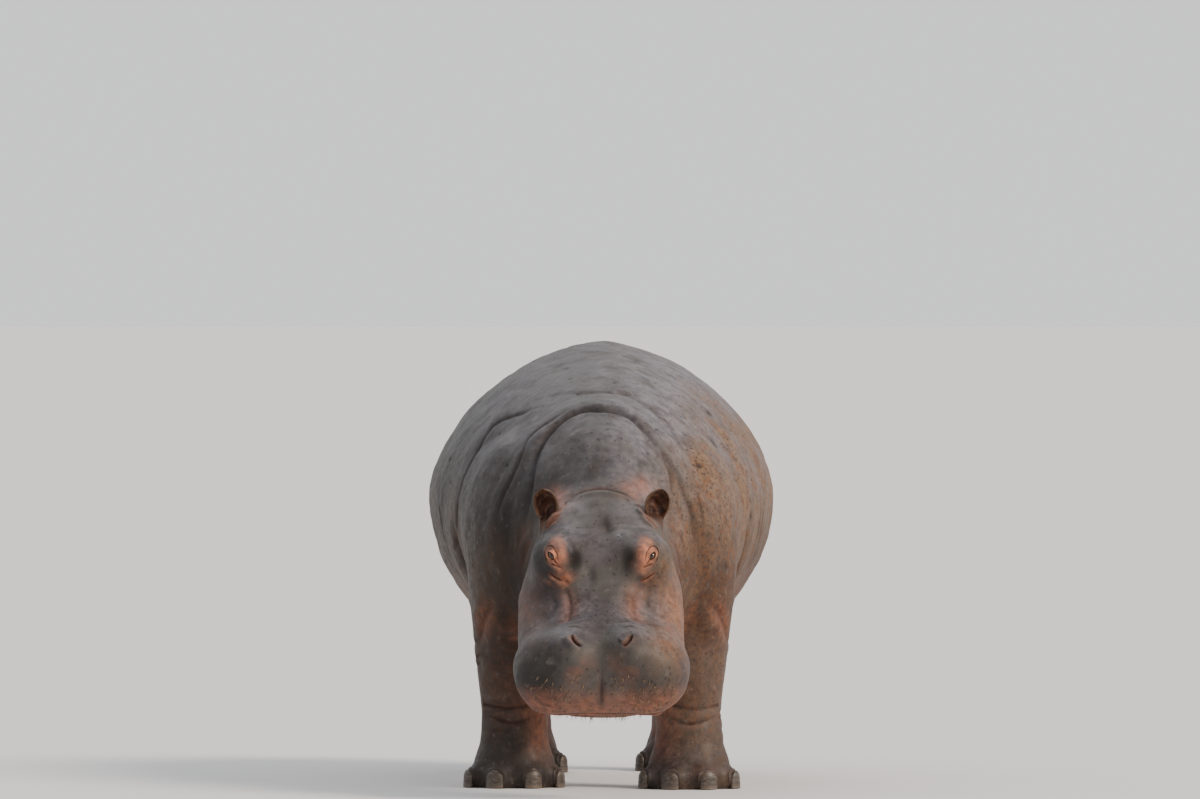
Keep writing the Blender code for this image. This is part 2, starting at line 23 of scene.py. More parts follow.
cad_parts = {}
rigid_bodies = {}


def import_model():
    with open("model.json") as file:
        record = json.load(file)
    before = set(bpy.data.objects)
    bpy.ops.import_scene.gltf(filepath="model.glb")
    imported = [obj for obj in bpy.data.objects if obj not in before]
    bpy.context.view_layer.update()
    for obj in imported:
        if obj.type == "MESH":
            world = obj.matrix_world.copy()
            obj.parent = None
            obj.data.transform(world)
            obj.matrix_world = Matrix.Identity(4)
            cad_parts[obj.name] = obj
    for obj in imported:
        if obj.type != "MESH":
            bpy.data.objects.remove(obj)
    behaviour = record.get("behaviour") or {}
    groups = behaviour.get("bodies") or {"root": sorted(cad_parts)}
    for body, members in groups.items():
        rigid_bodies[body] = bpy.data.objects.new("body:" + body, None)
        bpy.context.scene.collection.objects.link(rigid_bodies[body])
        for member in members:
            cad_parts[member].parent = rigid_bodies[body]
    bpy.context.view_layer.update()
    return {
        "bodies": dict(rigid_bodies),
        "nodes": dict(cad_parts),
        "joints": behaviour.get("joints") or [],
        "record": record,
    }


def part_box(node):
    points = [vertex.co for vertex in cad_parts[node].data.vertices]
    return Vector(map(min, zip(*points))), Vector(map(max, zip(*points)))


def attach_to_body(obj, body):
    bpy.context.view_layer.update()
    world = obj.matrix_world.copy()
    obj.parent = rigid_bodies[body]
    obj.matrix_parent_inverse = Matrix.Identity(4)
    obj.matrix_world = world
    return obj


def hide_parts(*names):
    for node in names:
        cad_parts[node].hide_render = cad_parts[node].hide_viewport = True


Array = np.ndarray
Mesh, Thing, Material = bpy.types.Mesh, bpy.types.Object, bpy.types.Material
Tree, Node, Socket = bpy.types.NodeTree, bpy.types.Node, bpy.types.NodeSocket
LOG = logging.getLogger("hippopotamus")
SIDES = {"left": 1, "right": -1}

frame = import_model()


# -------- small helpers
def linear(hex_colour: str, alpha: float = 1.0) -> tuple[float, float, float, float]:
    """Turns an sRGB hex colour into linear red, green, blue and alpha.

    Args:
        hex_colour: Six hexadecimal digits.
        alpha: The fourth number of the result.

    Returns:
        The colour as Blender's sockets want it.
    """
    shares = [int(hex_colour[k : k + 2], 16) / 255 for k in (0, 2, 4)]
    red, green, blue = (s / 12.92 if s <= 0.04045 else ((s + 0.055) / 1.055) ** 2.4 for s in shares)
    return red, green, blue, alpha


def smoothstep(low: float, high: float, value: Array) -> Array:
    """Rises softly from 0 at low to 1 at high; high may be the smaller one."""
    t = np.clip((value - low) / (high - low), 0.0, 1.0)
    return t * t * (3 - 2 * t)


def bell(distance: Array, width: float) -> Array:
    """A bump of height 1 that has fallen to 1/e at the width."""
    return np.exp(-np.square(distance / width))


def lumps(points: Array, size: float, seed: int) -> Array:
    """Smooth noise between -1 and 1.

    Args:
        points: Places, one row each.
        size: Distance between lumps, in metres.
        seed: Picks one of many patterns.

    Returns:
        One value for each place.
    """
    places = points / size + seed * 7.31
    corner = np.floor(places).astype(np.int64)
    share = places - corner
    share = share**3 * (share * (share * 6 - 15) + 10)
    total = np.zeros(len(points))
    for step in product((0, 1), repeat=3):
        at = corner + np.array(step)
        mixed = at[:, 0] * 73856093 ^ at[:, 1] * 19349663 ^ at[:, 2] * 83492791 ^ seed * 2654435761
        mixed = (mixed ^ (mixed >> 13)) * 1274126177
        value = ((mixed >> 9) & 0xFFFF) / 32767.5 - 1
        weight = np.prod([share[:, k] if step[k] else 1 - share[:, k] for k in range(3)], axis=0)
        total += value * weight
    return total


def unit(vectors: Array) -> Array:
    """Scales each row to length 1."""
    return vectors / np.maximum(np.linalg.norm(vectors, axis=-1, keepdims=True), 1e-9)


def moved(points: Array, matrix: Matrix) -> Array:
    """Takes points, one row each, through a 4x4 matrix."""
    rows = np.array(matrix)
    return points @ rows[:3, :3].T + rows[:3, 3]


def turned(directions: Array, matrix: Matrix) -> Array:
    """Turns directions, one row each, as a 4x4 matrix does."""
    return directions @ np.array(matrix)[:3, :3].T


def spot(u: Array, v: Array, wide: float, high: float, power: int = 2) -> Array:
    """An oval patch of height 1 at the origin that has fallen to 1/e at its half sizes."""
    return np.exp(-((u / wide) ** power) - (v / high) ** power)


def within(points: Array, centres: Sequence, reach: float) -> Array:
    """Which points lie nearer than the reach to one of the centres."""
    return np.min([np.linalg.norm(points - centre, axis=1) for centre in centres], axis=0) < reach


def flow(t: Array, knots: Sequence[float], values: Sequence[float]) -> Array:
    """Reads a smooth curve that passes through knots and never overshoots them.

    Args:
        t: Where to read the curve.
        knots: Rising places of the known values.
        values: The known values.

    Returns:
        The curve's value at each t.
    """
    at, known = np.asarray(knots, float), np.asarray(values, float)
    step = np.diff(at)
    slope = np.diff(known) / step
    same_way = slope[1:] * slope[:-1] > 0
    inner = np.where(same_way, 2 * slope[1:] * slope[:-1] / np.where(same_way, slope[1:] + slope[:-1], 1), 0)
    tangent = np.concatenate([slope[:1], inner, slope[-1:]])
    i = np.clip(np.searchsorted(at, t) - 1, 0, len(step) - 1)
    h = np.clip((t - at[i]) / step[i], 0, 1)
    rise = known[i] * (1 + 2 * h) * (1 - h) ** 2 + known[i + 1] * h * h * (3 - 2 * h)
    return rise + step[i] * (tangent[i] * h * (1 - h) ** 2 - tangent[i + 1] * h * h * (1 - h))


def axes_matrix(origin: Sequence[float], *axes: Sequence[float]) -> Matrix:
    """A 4x4 matrix whose columns are three directions and an origin."""
    matrix = Matrix.Identity(4)
    for column, vector in enumerate((*axes, origin)):
        matrix.col[column].xyz = vector
    return matrix


def new_object(name: str, mesh: Mesh) -> Thing:
    """Links a new object with the mesh to the scene."""
    obj = bpy.data.objects.new(name, mesh)
    bpy.context.scene.collection.objects.link(obj)
    return obj


def drawn(bm: bmesh.types.BMesh, name: str) -> Mesh:
    """Turns the drawing into a named mesh."""
    mesh = bpy.data.meshes.new(name)
    bm.to_mesh(mesh)
    bm.free()
    return mesh


def coordinates(mesh: Mesh) -> Array:
    """The mesh's points, one row each."""
    points = np.empty(len(mesh.vertices) * 3)
    mesh.vertices.foreach_get("co", points)
    return points.reshape(-1, 3)


def place_points(mesh: Mesh, points: Array) -> None:
    """Writes the points back to the mesh."""
    mesh.vertices.foreach_set("co", points.ravel())
    mesh.update()


def with_modifier(obj: Thing, kind: str, **settings: object) -> None:
    """Applies one modifier to the object's mesh.

    Args:
        obj: The object to change.
        kind: The modifier's type, such as "REMESH".
        **settings: Its properties.
    """
    step = obj.modifiers.new(kind.lower(), kind)
    for name, value in settings.items():
        setattr(step, name, value)
    graph = bpy.context.evaluated_depsgraph_get()
    mesh = bpy.data.meshes.new_from_object(obj.evaluated_get(graph))
    obj.modifiers.clear()
    old, obj.data = obj.data, mesh
    bpy.data.meshes.remove(old)


def keep_mask(mesh: Mesh, name: str, values: Array) -> None:
    """Stores one number per point under a name that a finish reads."""
    layer = mesh.attributes.get(name) or mesh.attributes.new(name, "FLOAT", "POINT")
    layer.data.foreach_set("value", np.asarray(values, np.float32))


def add_node(
    tree: Tree,
    kind: str,
    settings: Optional[dict] = None,
    values: Optional[dict] = None,
    links: Optional[dict] = None,
) -> Node:
    """Adds a node with its settings, values and links.

    Args:
        tree: The material's node tree.
        kind: The node's type name without "ShaderNode".
        settings: Properties of the node.
        values: Numbers or colours of its inputs, by name or number.
        links: Sockets to link in, by input name or number.

    Returns:
        The new node.
    """
    node = tree.nodes.new("ShaderNode" + kind)
    for name, value in (settings or {}).items():
        setattr(node, name, value)
    for name, value in (values or {}).items():
        node.inputs[name].default_value = value
    for name, socket in (links or {}).items():
        tree.links.new(socket, node.inputs[name])
    return node


# -------- rounded forms
class Form:
    """A rounded solid that flows into its neighbours with its own fillet."""

    blend: float

    def distance(self, points: Array) -> Array:
        """Signed distance of each point, negative inside."""
        raise NotImplementedError

    def add_to(self, bm: bmesh.types.BMesh) -> None:
        """Draws the form's plain surface."""
        raise NotImplementedError

    def box(self) -> tuple[Array, Array]:
        """Lowest and highest corner of the form."""
        raise NotImplementedError


@dataclass
class Blob(Form):
    """An ellipsoid in a local frame: centre and radii along, across and upward."""

    frame: Matrix
    centre: tuple
    radii: tuple
    blend: float

    def matrix(self) -> Matrix:
        """Local to world."""
        return self.frame @ Matrix.Translation(self.centre)

    def distance(self, points: Array) -> Array:
        """Signed distance of each point, negative inside."""
        local = moved(points, self.matrix().inverted())
        radii = np.array(self.radii)
        near = np.linalg.norm(local / radii, axis=1)
        steep = np.linalg.norm(local / radii**2, axis=1)
        return near * (near - 1) / np.maximum(steep, 1e-9)

    def add_to(self, bm: bmesh.types.BMesh) -> None:
        """Draws the form's plain surface."""
        grown = Matrix.Diagonal((*self.radii, 1.0))
        bmesh.ops.create_icosphere(bm, subdivisions=3, radius=1.0, matrix=self.matrix() @ grown)

    def box(self) -> tuple[Array, Array]:
        """Lowest and highest corner of the form."""
        matrix = np.array(self.matrix())
        half = np.linalg.norm(matrix[:3, :3] * np.array(self.radii), axis=1)
        return matrix[:3, 3] - half, matrix[:3, 3] + half


@dataclass
class Loft(Form):
    """A tube along a local frame's first axis, with a rounded section at each station.

    A station is (along, middle across, middle upward, half width, upward reach,
    downward reach). The caps are the depths of the rounded ends. The powers belong to the
    upper and lower half of a section, where 2 is an ellipse.
    """

    frame: Matrix
    stations: list
    blend: float
    caps: tuple = (0.05, 0.05)
    powers: tuple = (2.0, 2.0)

    def section(self, t: Array) -> list[Array]:
        """The station's five other numbers at t."""
        knots, *columns = zip(*self.stations)
        return [flow(t, knots, column) for column in columns]

    def distance(self, points: Array) -> Array:
        """Signed distance of each point, negative inside."""
        local = moved(points, self.frame.inverted())
        t = np.clip(local[:, 0], self.stations[0][0], self.stations[-1][0])
        middle, level, half_width, above, below = self.section(t)
        high = local[:, 2] >= level
        reach = np.where(high, above, below)
        power = np.where(high, *self.powers)
        across = np.abs(local[:, 1] - middle) / half_width
        upward = np.abs(local[:, 2] - level) / reach
        ring = (across**power + upward**power) ** (1 / power)
        past = local[:, 0] - t
        cap = np.where(past < 0, *self.caps)
        return (np.hypot(ring, past / cap) - 1) * np.minimum(half_width, reach)

    def add_to(self, bm: bmesh.types.BMesh) -> None:
        """Draws the form's plain surface."""
        rings, sides, cap_rings = 28, 32, 4
        first, last = self.stations[0][0], self.stations[-1][0]
        turns = [math.pi / 2 * k / cap_rings for k in range(1, cap_rings)]
        places = [(first, -self.caps[0] * math.sin(a), math.cos(a)) for a in reversed(turns)]
        places += [(along, 0.0, 1.0) for along in np.linspace(first, last, rings)]
        places += [(last, self.caps[1] * math.sin(a), math.cos(a)) for a in turns]
        loops = []
        for along, past, share in places:
            middle, level, half_width, above, below = (float(v[0]) for v in self.section(np.array([along])))
            loop = []
            for k in range(sides):
                c, s = math.cos(math.tau * k / sides), math.sin(math.tau * k / sides)
                reach, power = (above, self.powers[0]) if s >= 0 else (below, self.powers[1])
                across = middle + share * half_width * math.copysign(abs(c) ** (2 / power), c)
                upward = level + share * reach * math.copysign(abs(s) ** (2 / power), s)
                loop.append(bm.verts.new(self.frame @ Vector((along + past, across, upward))))
            loops.append(loop)
        for near, far in zip(loops, loops[1:]):
            for k in range(sides):
                bm.faces.new((near[k], near[(k + 1) % sides], far[(k + 1) % sides], far[k]))
        bm.faces.new(loops[0])
        bm.faces.new(list(reversed(loops[-1])))

    def box(self) -> tuple[Array, Array]:
        """Lowest and highest corner of the form."""
        rows = np.array(self.stations)
        along = (rows[0, 0] - self.caps[0], rows[-1, 0] + self.caps[1])
        across = ((rows[:, 1] - rows[:, 3]).min(), (rows[:, 1] + rows[:, 3]).max())
        upward = ((rows[:, 2] - rows[:, 5]).min(), (rows[:, 2] + rows[:, 4]).max())
        corners = np.array([self.frame @ Vector(corner) for corner in product(along, across, upward)])
        return corners.min(0), corners.max(0)


@dataclass
class Limb:
    """Where one leg stands, and its stations: (height, out, back, half width, rear, front)."""

    x: float
    y: float
    stagger: float
    stations: list
    toe_reach: float

    @property
    def foot(self) -> Vector:
        """The middle of the sole."""
        return Vector((self.x, self.y - self.stagger, 0.0))


@dataclass
class Anatomy:
    """The animal's rounded forms, the same ones that its solids were cut from.

    They are drawn in a frame of their own, whose origin is on the floor between the forefeet;
    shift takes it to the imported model's frame.
    """

    back_height: float = 1.45
    trunk_half_width: float = 0.573
    eye_height: float = 0.788
    eye_forward: float = 0.78
    eye_spacing: float = 0.31
    eye_radius: float = 0.020
    eye_sunk: float = 0.014
    eye_look: tuple = (0.50, 0.20, 0.62)
    head_pitch: float = math.radians(38)
    front_track: float = 0.57
    hind_track: float = 0.54
    hind_feet_y: float = 1.37
    fore_stagger: float = 0.05
    hind_stagger: float = 0.06
    toe_angles: tuple = tuple(math.radians(a) for a in (-68, -23, 23, 68))
    toe_radii: tuple = (0.056, 0.044, 0.042)
    toe_height: float = 0.032
    head: Matrix = field(init=False)
    trunk: Matrix = field(init=False)
    limbs: dict = field(init=False)
    forms: list = field(init=False)
    boxes: list = field(init=False)
    shift: Vector = field(init=False)

    def __post_init__(self) -> None:
        """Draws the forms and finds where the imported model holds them."""
        cos, sin = math.cos(self.head_pitch), math.sin(self.head_pitch)
        origin = (0.0, -self.eye_forward, self.eye_height)
        self.head = axes_matrix(origin, (0.0, -cos, -sin), (1.0, 0.0, 0.0), (0.0, -sin, cos))
        self.trunk = axes_matrix((0, 0, 0), (0, 1, 0), (1, 0, 0), (0, 0, 1))
        self.limbs = {}
        fore, hind = self.fore_stations(), self.hind_stations()
        for side, sign in SIDES.items():
            out, stagger = sign * self.front_track / 2, sign * self.fore_stagger
            self.limbs[f"front_{side}"] = Limb(out, 0.0, stagger, fore, 0.116)
            out, stagger = sign * self.hind_track / 2, -sign * self.hind_stagger
            self.limbs[f"hind_{side}"] = Limb(out, self.hind_feet_y, stagger, hind, 0.106)
        self.forms = self.trunk_forms() + self.head_forms() + self.tail_forms()
        for limb in self.limbs.values():
            self.forms += self.leg_forms(limb)
            toes = [self.toe_frame(limb, angle) for angle in self.toe_angles]
            self.forms += [Blob(toe, (0, 0, 0), self.toe_radii, 0.028) for toe in toes]
        self.boxes = [form.box() for form in self.forms]
        packed = [sum(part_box(f"eye_{side}"), Vector()) / 2 for side in SIDES]
        own = [self.eye_middle(sign) for sign in SIDES.values()]
        self.shift = (sum(packed, Vector()) - sum(own, Vector())) / 2

    def trunk_forms(self) -> list[Form]:
        """Barrel of the body, from the shoulders to the buttocks, and the neck."""
        widest = 0.937
        lines = [
            (-0.20, 0.362, 1.240, 0.84, 0.430),
            (-0.06, 0.420, 1.285, 0.86, 0.410),
            (0.12, 0.462, 1.330, 0.88, 0.400),
            (0.35, 0.512, 1.380, 0.915, 0.388),
            (0.65, 0.558, 1.430, 0.93, 0.375),
            (0.95, self.trunk_half_width, self.back_height, widest, 0.375),
            (1.25, 0.555, 1.425, widest, 0.410),
            (1.50, 0.495, 1.345, 0.93, 0.480),
            (1.66, 0.405, 1.245, 0.92, 0.560),
            (1.77, 0.290, 1.145, 0.92, 0.660),
            (1.84, 0.160, 1.045, 0.92, 0.780),
        ]
        barrel = [(y, 0.0, level, half, top - level, level - low) for y, half, top, level, low in lines]
        collar = [
            (-0.74, 0.0, 0.66, 0.165, 0.180, 0.21),
            (-0.60, 0.0, 0.68, 0.198, 0.270, 0.26),
            (-0.46, 0.0, 0.72, 0.232, 0.350, 0.30),
            (-0.34, 0.0, 0.76, 0.286, 0.420, 0.34),
            (-0.22, 0.0, 0.80, 0.334, 0.432, 0.38),
            (-0.06, 0.0, 0.84, 0.372, 0.405, 0.40),
        ]
        forms: list[Form] = [
            Loft(self.trunk, barrel, 0.05, caps=(0.15, 0.03), powers=(1.72, 1.92)),
            Loft(self.trunk, collar, 0.035, caps=(0.08, 0.1), powers=(2.0, 2.1)),
        ]
        for sign in SIDES.values():
            forms += [
                Blob(self.trunk, (0.00, sign * 0.290, 0.80), (0.23, 0.142, 0.34), 0.06),
                Blob(self.trunk, (1.40, sign * 0.315, 0.80), (0.30, 0.150, 0.34), 0.08),
            ]
        return forms

    def orbit(self, sign: int) -> tuple[tuple, tuple]:
        """Centre and radii of the raised socket of one eye, in the head's frame."""
        return (0.010, sign * (self.eye_spacing / 2 - 0.012), -0.016), (0.090, 0.074, 0.062)

    def head_forms(self) -> list[Form]:
        """Skull, muzzle, cheeks and jaw, in the head's frame: along the nose, across, upward."""
        skull = [
            (-0.26, 0.0, -0.105, 0.180, 0.105, 0.20),
            (-0.13, 0.0, -0.10, 0.188, 0.126, 0.20),
            (0.00, 0.0, -0.10, 0.168, 0.108, 0.19),
            (0.11, 0.0, -0.11, 0.128, 0.088, 0.16),
            (0.21, 0.0, -0.12, 0.118, 0.085, 0.14),
            (0.32, 0.0, -0.13, 0.132, 0.102, 0.14),
            (0.41, 0.0, -0.13, 0.150, 0.106, 0.14),
        ]
        cheeks = [
            (-0.27, 0.0, -0.24, 0.190, 0.150, 0.15),
            (-0.14, 0.0, -0.21, 0.235, 0.165, 0.18),
            (0.00, 0.0, -0.20, 0.260, 0.170, 0.17),
            (0.14, 0.0, -0.20, 0.262, 0.140, 0.14),
            (0.26, 0.0, -0.19, 0.266, 0.125, 0.13),
            (0.36, 0.0, -0.18, 0.272, 0.125, 0.13),
            (0.43, 0.0, -0.17, 0.258, 0.115, 0.12),
        ]
        jaw = [
            (-0.20, 0.0, -0.31, 0.170, 0.12, 0.110),
            (-0.05, 0.0, -0.32, 0.175, 0.12, 0.112),
            (0.12, 0.0, -0.315, 0.165, 0.10, 0.088),
            (0.26, 0.0, -0.305, 0.182, 0.08, 0.072),
            (0.36, 0.0, -0.300, 0.195, 0.06, 0.062),
        ]
        forms: list[Form] = [
            Loft(self.head, skull, 0.05, caps=(0.1, 0.085), powers=(2.4, 2.4)),
            Loft(self.head, cheeks, 0.045, caps=(0.1, 0.105), powers=(2.2, 2.4)),
            Loft(self.head, jaw, 0.03, caps=(0.1, 0.085), powers=(2.3, 2.5)),
            Blob(self.head, (-0.27, 0.0, -0.27), (0.17, 0.19, 0.18), 0.06),
        ]
        for sign in SIDES.values():
            forms += [
                Blob(self.head, (0.40, sign * 0.155, -0.165), (0.130, 0.106, 0.128), 0.05),
                Blob(self.head, (0.422, sign * 0.086, -0.054), (0.080, 0.052, 0.042), 0.065),
                Blob(self.head, *self.orbit(sign), 0.085),
                Blob(self.head, (-0.175, sign * 0.150, -0.024), (0.045, 0.042, 0.045), 0.055),
            ]
        return forms

    @staticmethod
    def fore_stations() -> list[tuple]:
        """Stations of a foreleg, from the sole up."""
        return [
            (-0.03, 0.0, 0.0, 0.120, 0.108, 0.128),
            (0.03, 0.0, 0.0, 0.136, 0.122, 0.142),
            (0.08, 0.0, 0.0, 0.132, 0.116, 0.130),
            (0.15, 0.0, 0.005, 0.112, 0.106, 0.110),
            (0.23, -0.003, 0.01, 0.107, 0.108, 0.106),
            (0.33, -0.008, 0.015, 0.120, 0.132, 0.122),
            (0.46, -0.015, 0.02, 0.143, 0.175, 0.158),
            (0.62, -0.022, 0.02, 0.160, 0.220, 0.195),
            (0.78, -0.040, 0.03, 0.152, 0.200, 0.190),
        ]

    @staticmethod
    def hind_stations() -> list[tuple]:
        """Stations of a hind leg, from the sole up."""
        return [
            (-0.03, 0.0, 0.0, 0.110, 0.102, 0.120),
            (0.03, 0.0, 0.0, 0.126, 0.115, 0.134),
            (0.08, 0.0, 0.0, 0.120, 0.110, 0.120),
            (0.15, 0.0, 0.015, 0.102, 0.100, 0.100),
            (0.25, 0.004, 0.04, 0.100, 0.108, 0.106),
            (0.36, 0.006, 0.03, 0.120, 0.135, 0.150),
            (0.50, 0.006, 0.00, 0.146, 0.195, 0.230),
            (0.68, 0.000, 0.00, 0.172, 0.260, 0.275),
            (0.86, -0.005, 0.00, 0.165, 0.240, 0.230),
        ]

    def leg_forms(self, limb: Limb) -> list[Form]:
        """One leg as an upright loft whose third axis points back."""
        top = limb.stations[-1][0]
        sign = math.copysign(1, limb.x)
        upright = axes_matrix((limb.x, limb.y, 0), (0, 0, 1), (1, 0, 0), (0, 1, 0))
        leaning = [
            (z, sign * out, back - limb.stagger * max(0.0, 1 - z / top), half, rear, front)
            for z, out, back, half, rear, front in limb.stations
        ]
        return [Loft(upright, leaning, 0.05, caps=(0.05, 0.10), powers=(2.1, 2.1))]

    def toe_frame(self, limb: Limb, angle: float) -> Matrix:
        """A frame at a toe's middle: outward from the foot's middle, sideways, up."""
        outward = Vector((math.sin(angle), -math.cos(angle), 0.0))
        origin = limb.foot + outward * limb.toe_reach + Vector((0, 0, self.toe_height))
        return axes_matrix(origin, outward, Vector((0, 0, 1)).cross(outward), (0, 0, 1))

    def tail_forms(self) -> list[Form]:
        """A short flattened tail that hangs from the top of the buttocks."""
        hanging = axes_matrix((0, 0, 0), (0, 0, -1), (1, 0, 0), (0, 1, 0))
        stations = [
            (-1.17, 0.0, 1.70, 0.075, 0.060, 0.070),
            (-1.08, 0.0, 1.85, 0.058, 0.046, 0.058),
            (-0.97, 0.0, 1.940, 0.046, 0.028, 0.030),
            (-0.80, 0.0, 1.975, 0.036, 0.018, 0.018),
            (-0.64, 0.0, 1.975, 0.024, 0.012, 0.012),
        ]
        return [Loft(hanging, stations, 0.03, caps=(0.03, 0.03))]

    def field(self, points: Array) -> Array:
        """Signed distance to the forms flowed into one another.

        Args:
            points: Places, one row each.

        Returns:
            A distance for each place, negative inside.
        """
        spare = 0.08  # past a form's fillet, so that leaving it out changes nothing
        value = self.forms[0].distance(points)
        for form, (low, high) in zip(self.forms[1:], self.boxes[1:]):
            margin = form.blend + spare
            near = np.flatnonzero(np.all((points > low - margin) & (points < high + margin), axis=1))
            if not len(near):
                continue
            old, other = value[near], form.distance(points[near])
            share = np.clip(0.5 + 0.5 * (other - old) / form.blend, 0, 1)
            value[near] = other * (1 - share) + old * share - form.blend * share * (1 - share)
        return value

    def slope(self, points: Array, value: Optional[Array] = None) -> Array:
        """Gradient of the field at each point."""
        probe = 0.001
        value = self.field(points) if value is None else value
        return np.stack([(self.field(points + probe * axis) - value) / probe for axis in np.eye(3)], 1)

    def settle(self, points: Array, rounds: int = 4) -> Array:
        """Moves points onto the surface along its slope."""
        for _ in range(rounds):
            value = self.field(points)
            slope = self.slope(points, value)
            steep = np.maximum((slope**2).sum(1), 0.05)
            points = points - np.clip(value / steep, -0.03, 0.03)[:, None] * slope
        return points

    def cast(self, starts: Array, heading: Array) -> Array:
        """Slides points along a heading until they meet the surface.

        Args:
            starts: Places outside the animal.
            heading: Directions of length 1.

        Returns:
            The places where they first meet it.
        """
        points = starts.copy()
        for _ in range(90):
            value = self.field(points)
            points += np.clip(value * 0.7, 0.0, 0.15)[:, None] * heading
        return self.settle(points, 2)

    def dress(self, mesh: Mesh, material: Material) -> None:
        """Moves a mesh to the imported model's frame and gives it its material."""
        mesh.transform(Matrix.Translation(self.shift))
        mesh.materials.clear()
        mesh.materials.append(material)
        mesh.shade_smooth()

    def eye_middle(self, sign: int) -> Vector:
        """The eye's centre: sunk under the skin where the socket's dome looks out, up and forward."""
        centre, radii = self.orbit(sign)
        look = Vector(self.eye_look).normalized()
        start = Vector(centre) + Vector((look.x, sign * look.y, look.z)) * (max(radii) + 0.01)
        point = self.settle(np.array([self.head @ start]), 8)
        normal = unit(self.slope(point))
        return Vector(point[0] - normal[0] * self.eye_sunk)

    def in_head(self, points: Array) -> Array:
        """The points in the head's frame: along the nose, across, upward."""
        return moved(points, self.head.inverted())


# -------- folds of the hide
class View(Enum):
    """From where a fold is drawn on the animal: its two drawing axes and the way it looks."""

    FRONT = "front"  # across, up
    NAPE = "nape"  # across, up, from just behind the jowls
    REAR = "rear"  # across, up
    FLANK = "flank"  # back, up, from the left side
    FACE = "face"  # the head's across and up, from ahead of the muzzle
    BROW = "brow"  # the head's along and across, from above the nose
    CHEEK = "cheek"  # the head's along and up, from its left side
    CHIN = "chin"  # the head's along and across, from below the jaw


@dataclass(frozen=True)
class Fold:
    """A crease of the hide and the roll of skin that lies beside it.

    Attributes:
        view: From where it is drawn.
        route: Two drawing coordinates for each point of a smooth line.
        width: Half width of the crease.
        depth: Depth of the crease; below 0 it is a ridge.
        roll: Height of the roll beside it; below 0 it lies on the other side.
        spread: Width of the roll.
        flush: How pink the crease is, 0 to 1.
        paired: Whether the other side of the animal has it too.
        fade: Share of its length over which each end dies away.
    """

    view: View
    route: tuple
    width: float = 0.006
    depth: float = 0.005
    roll: float = 0.0
    spread: float = 0.03
    flush: float = 0.0
    paired: bool = True
    fade: float = 0.25


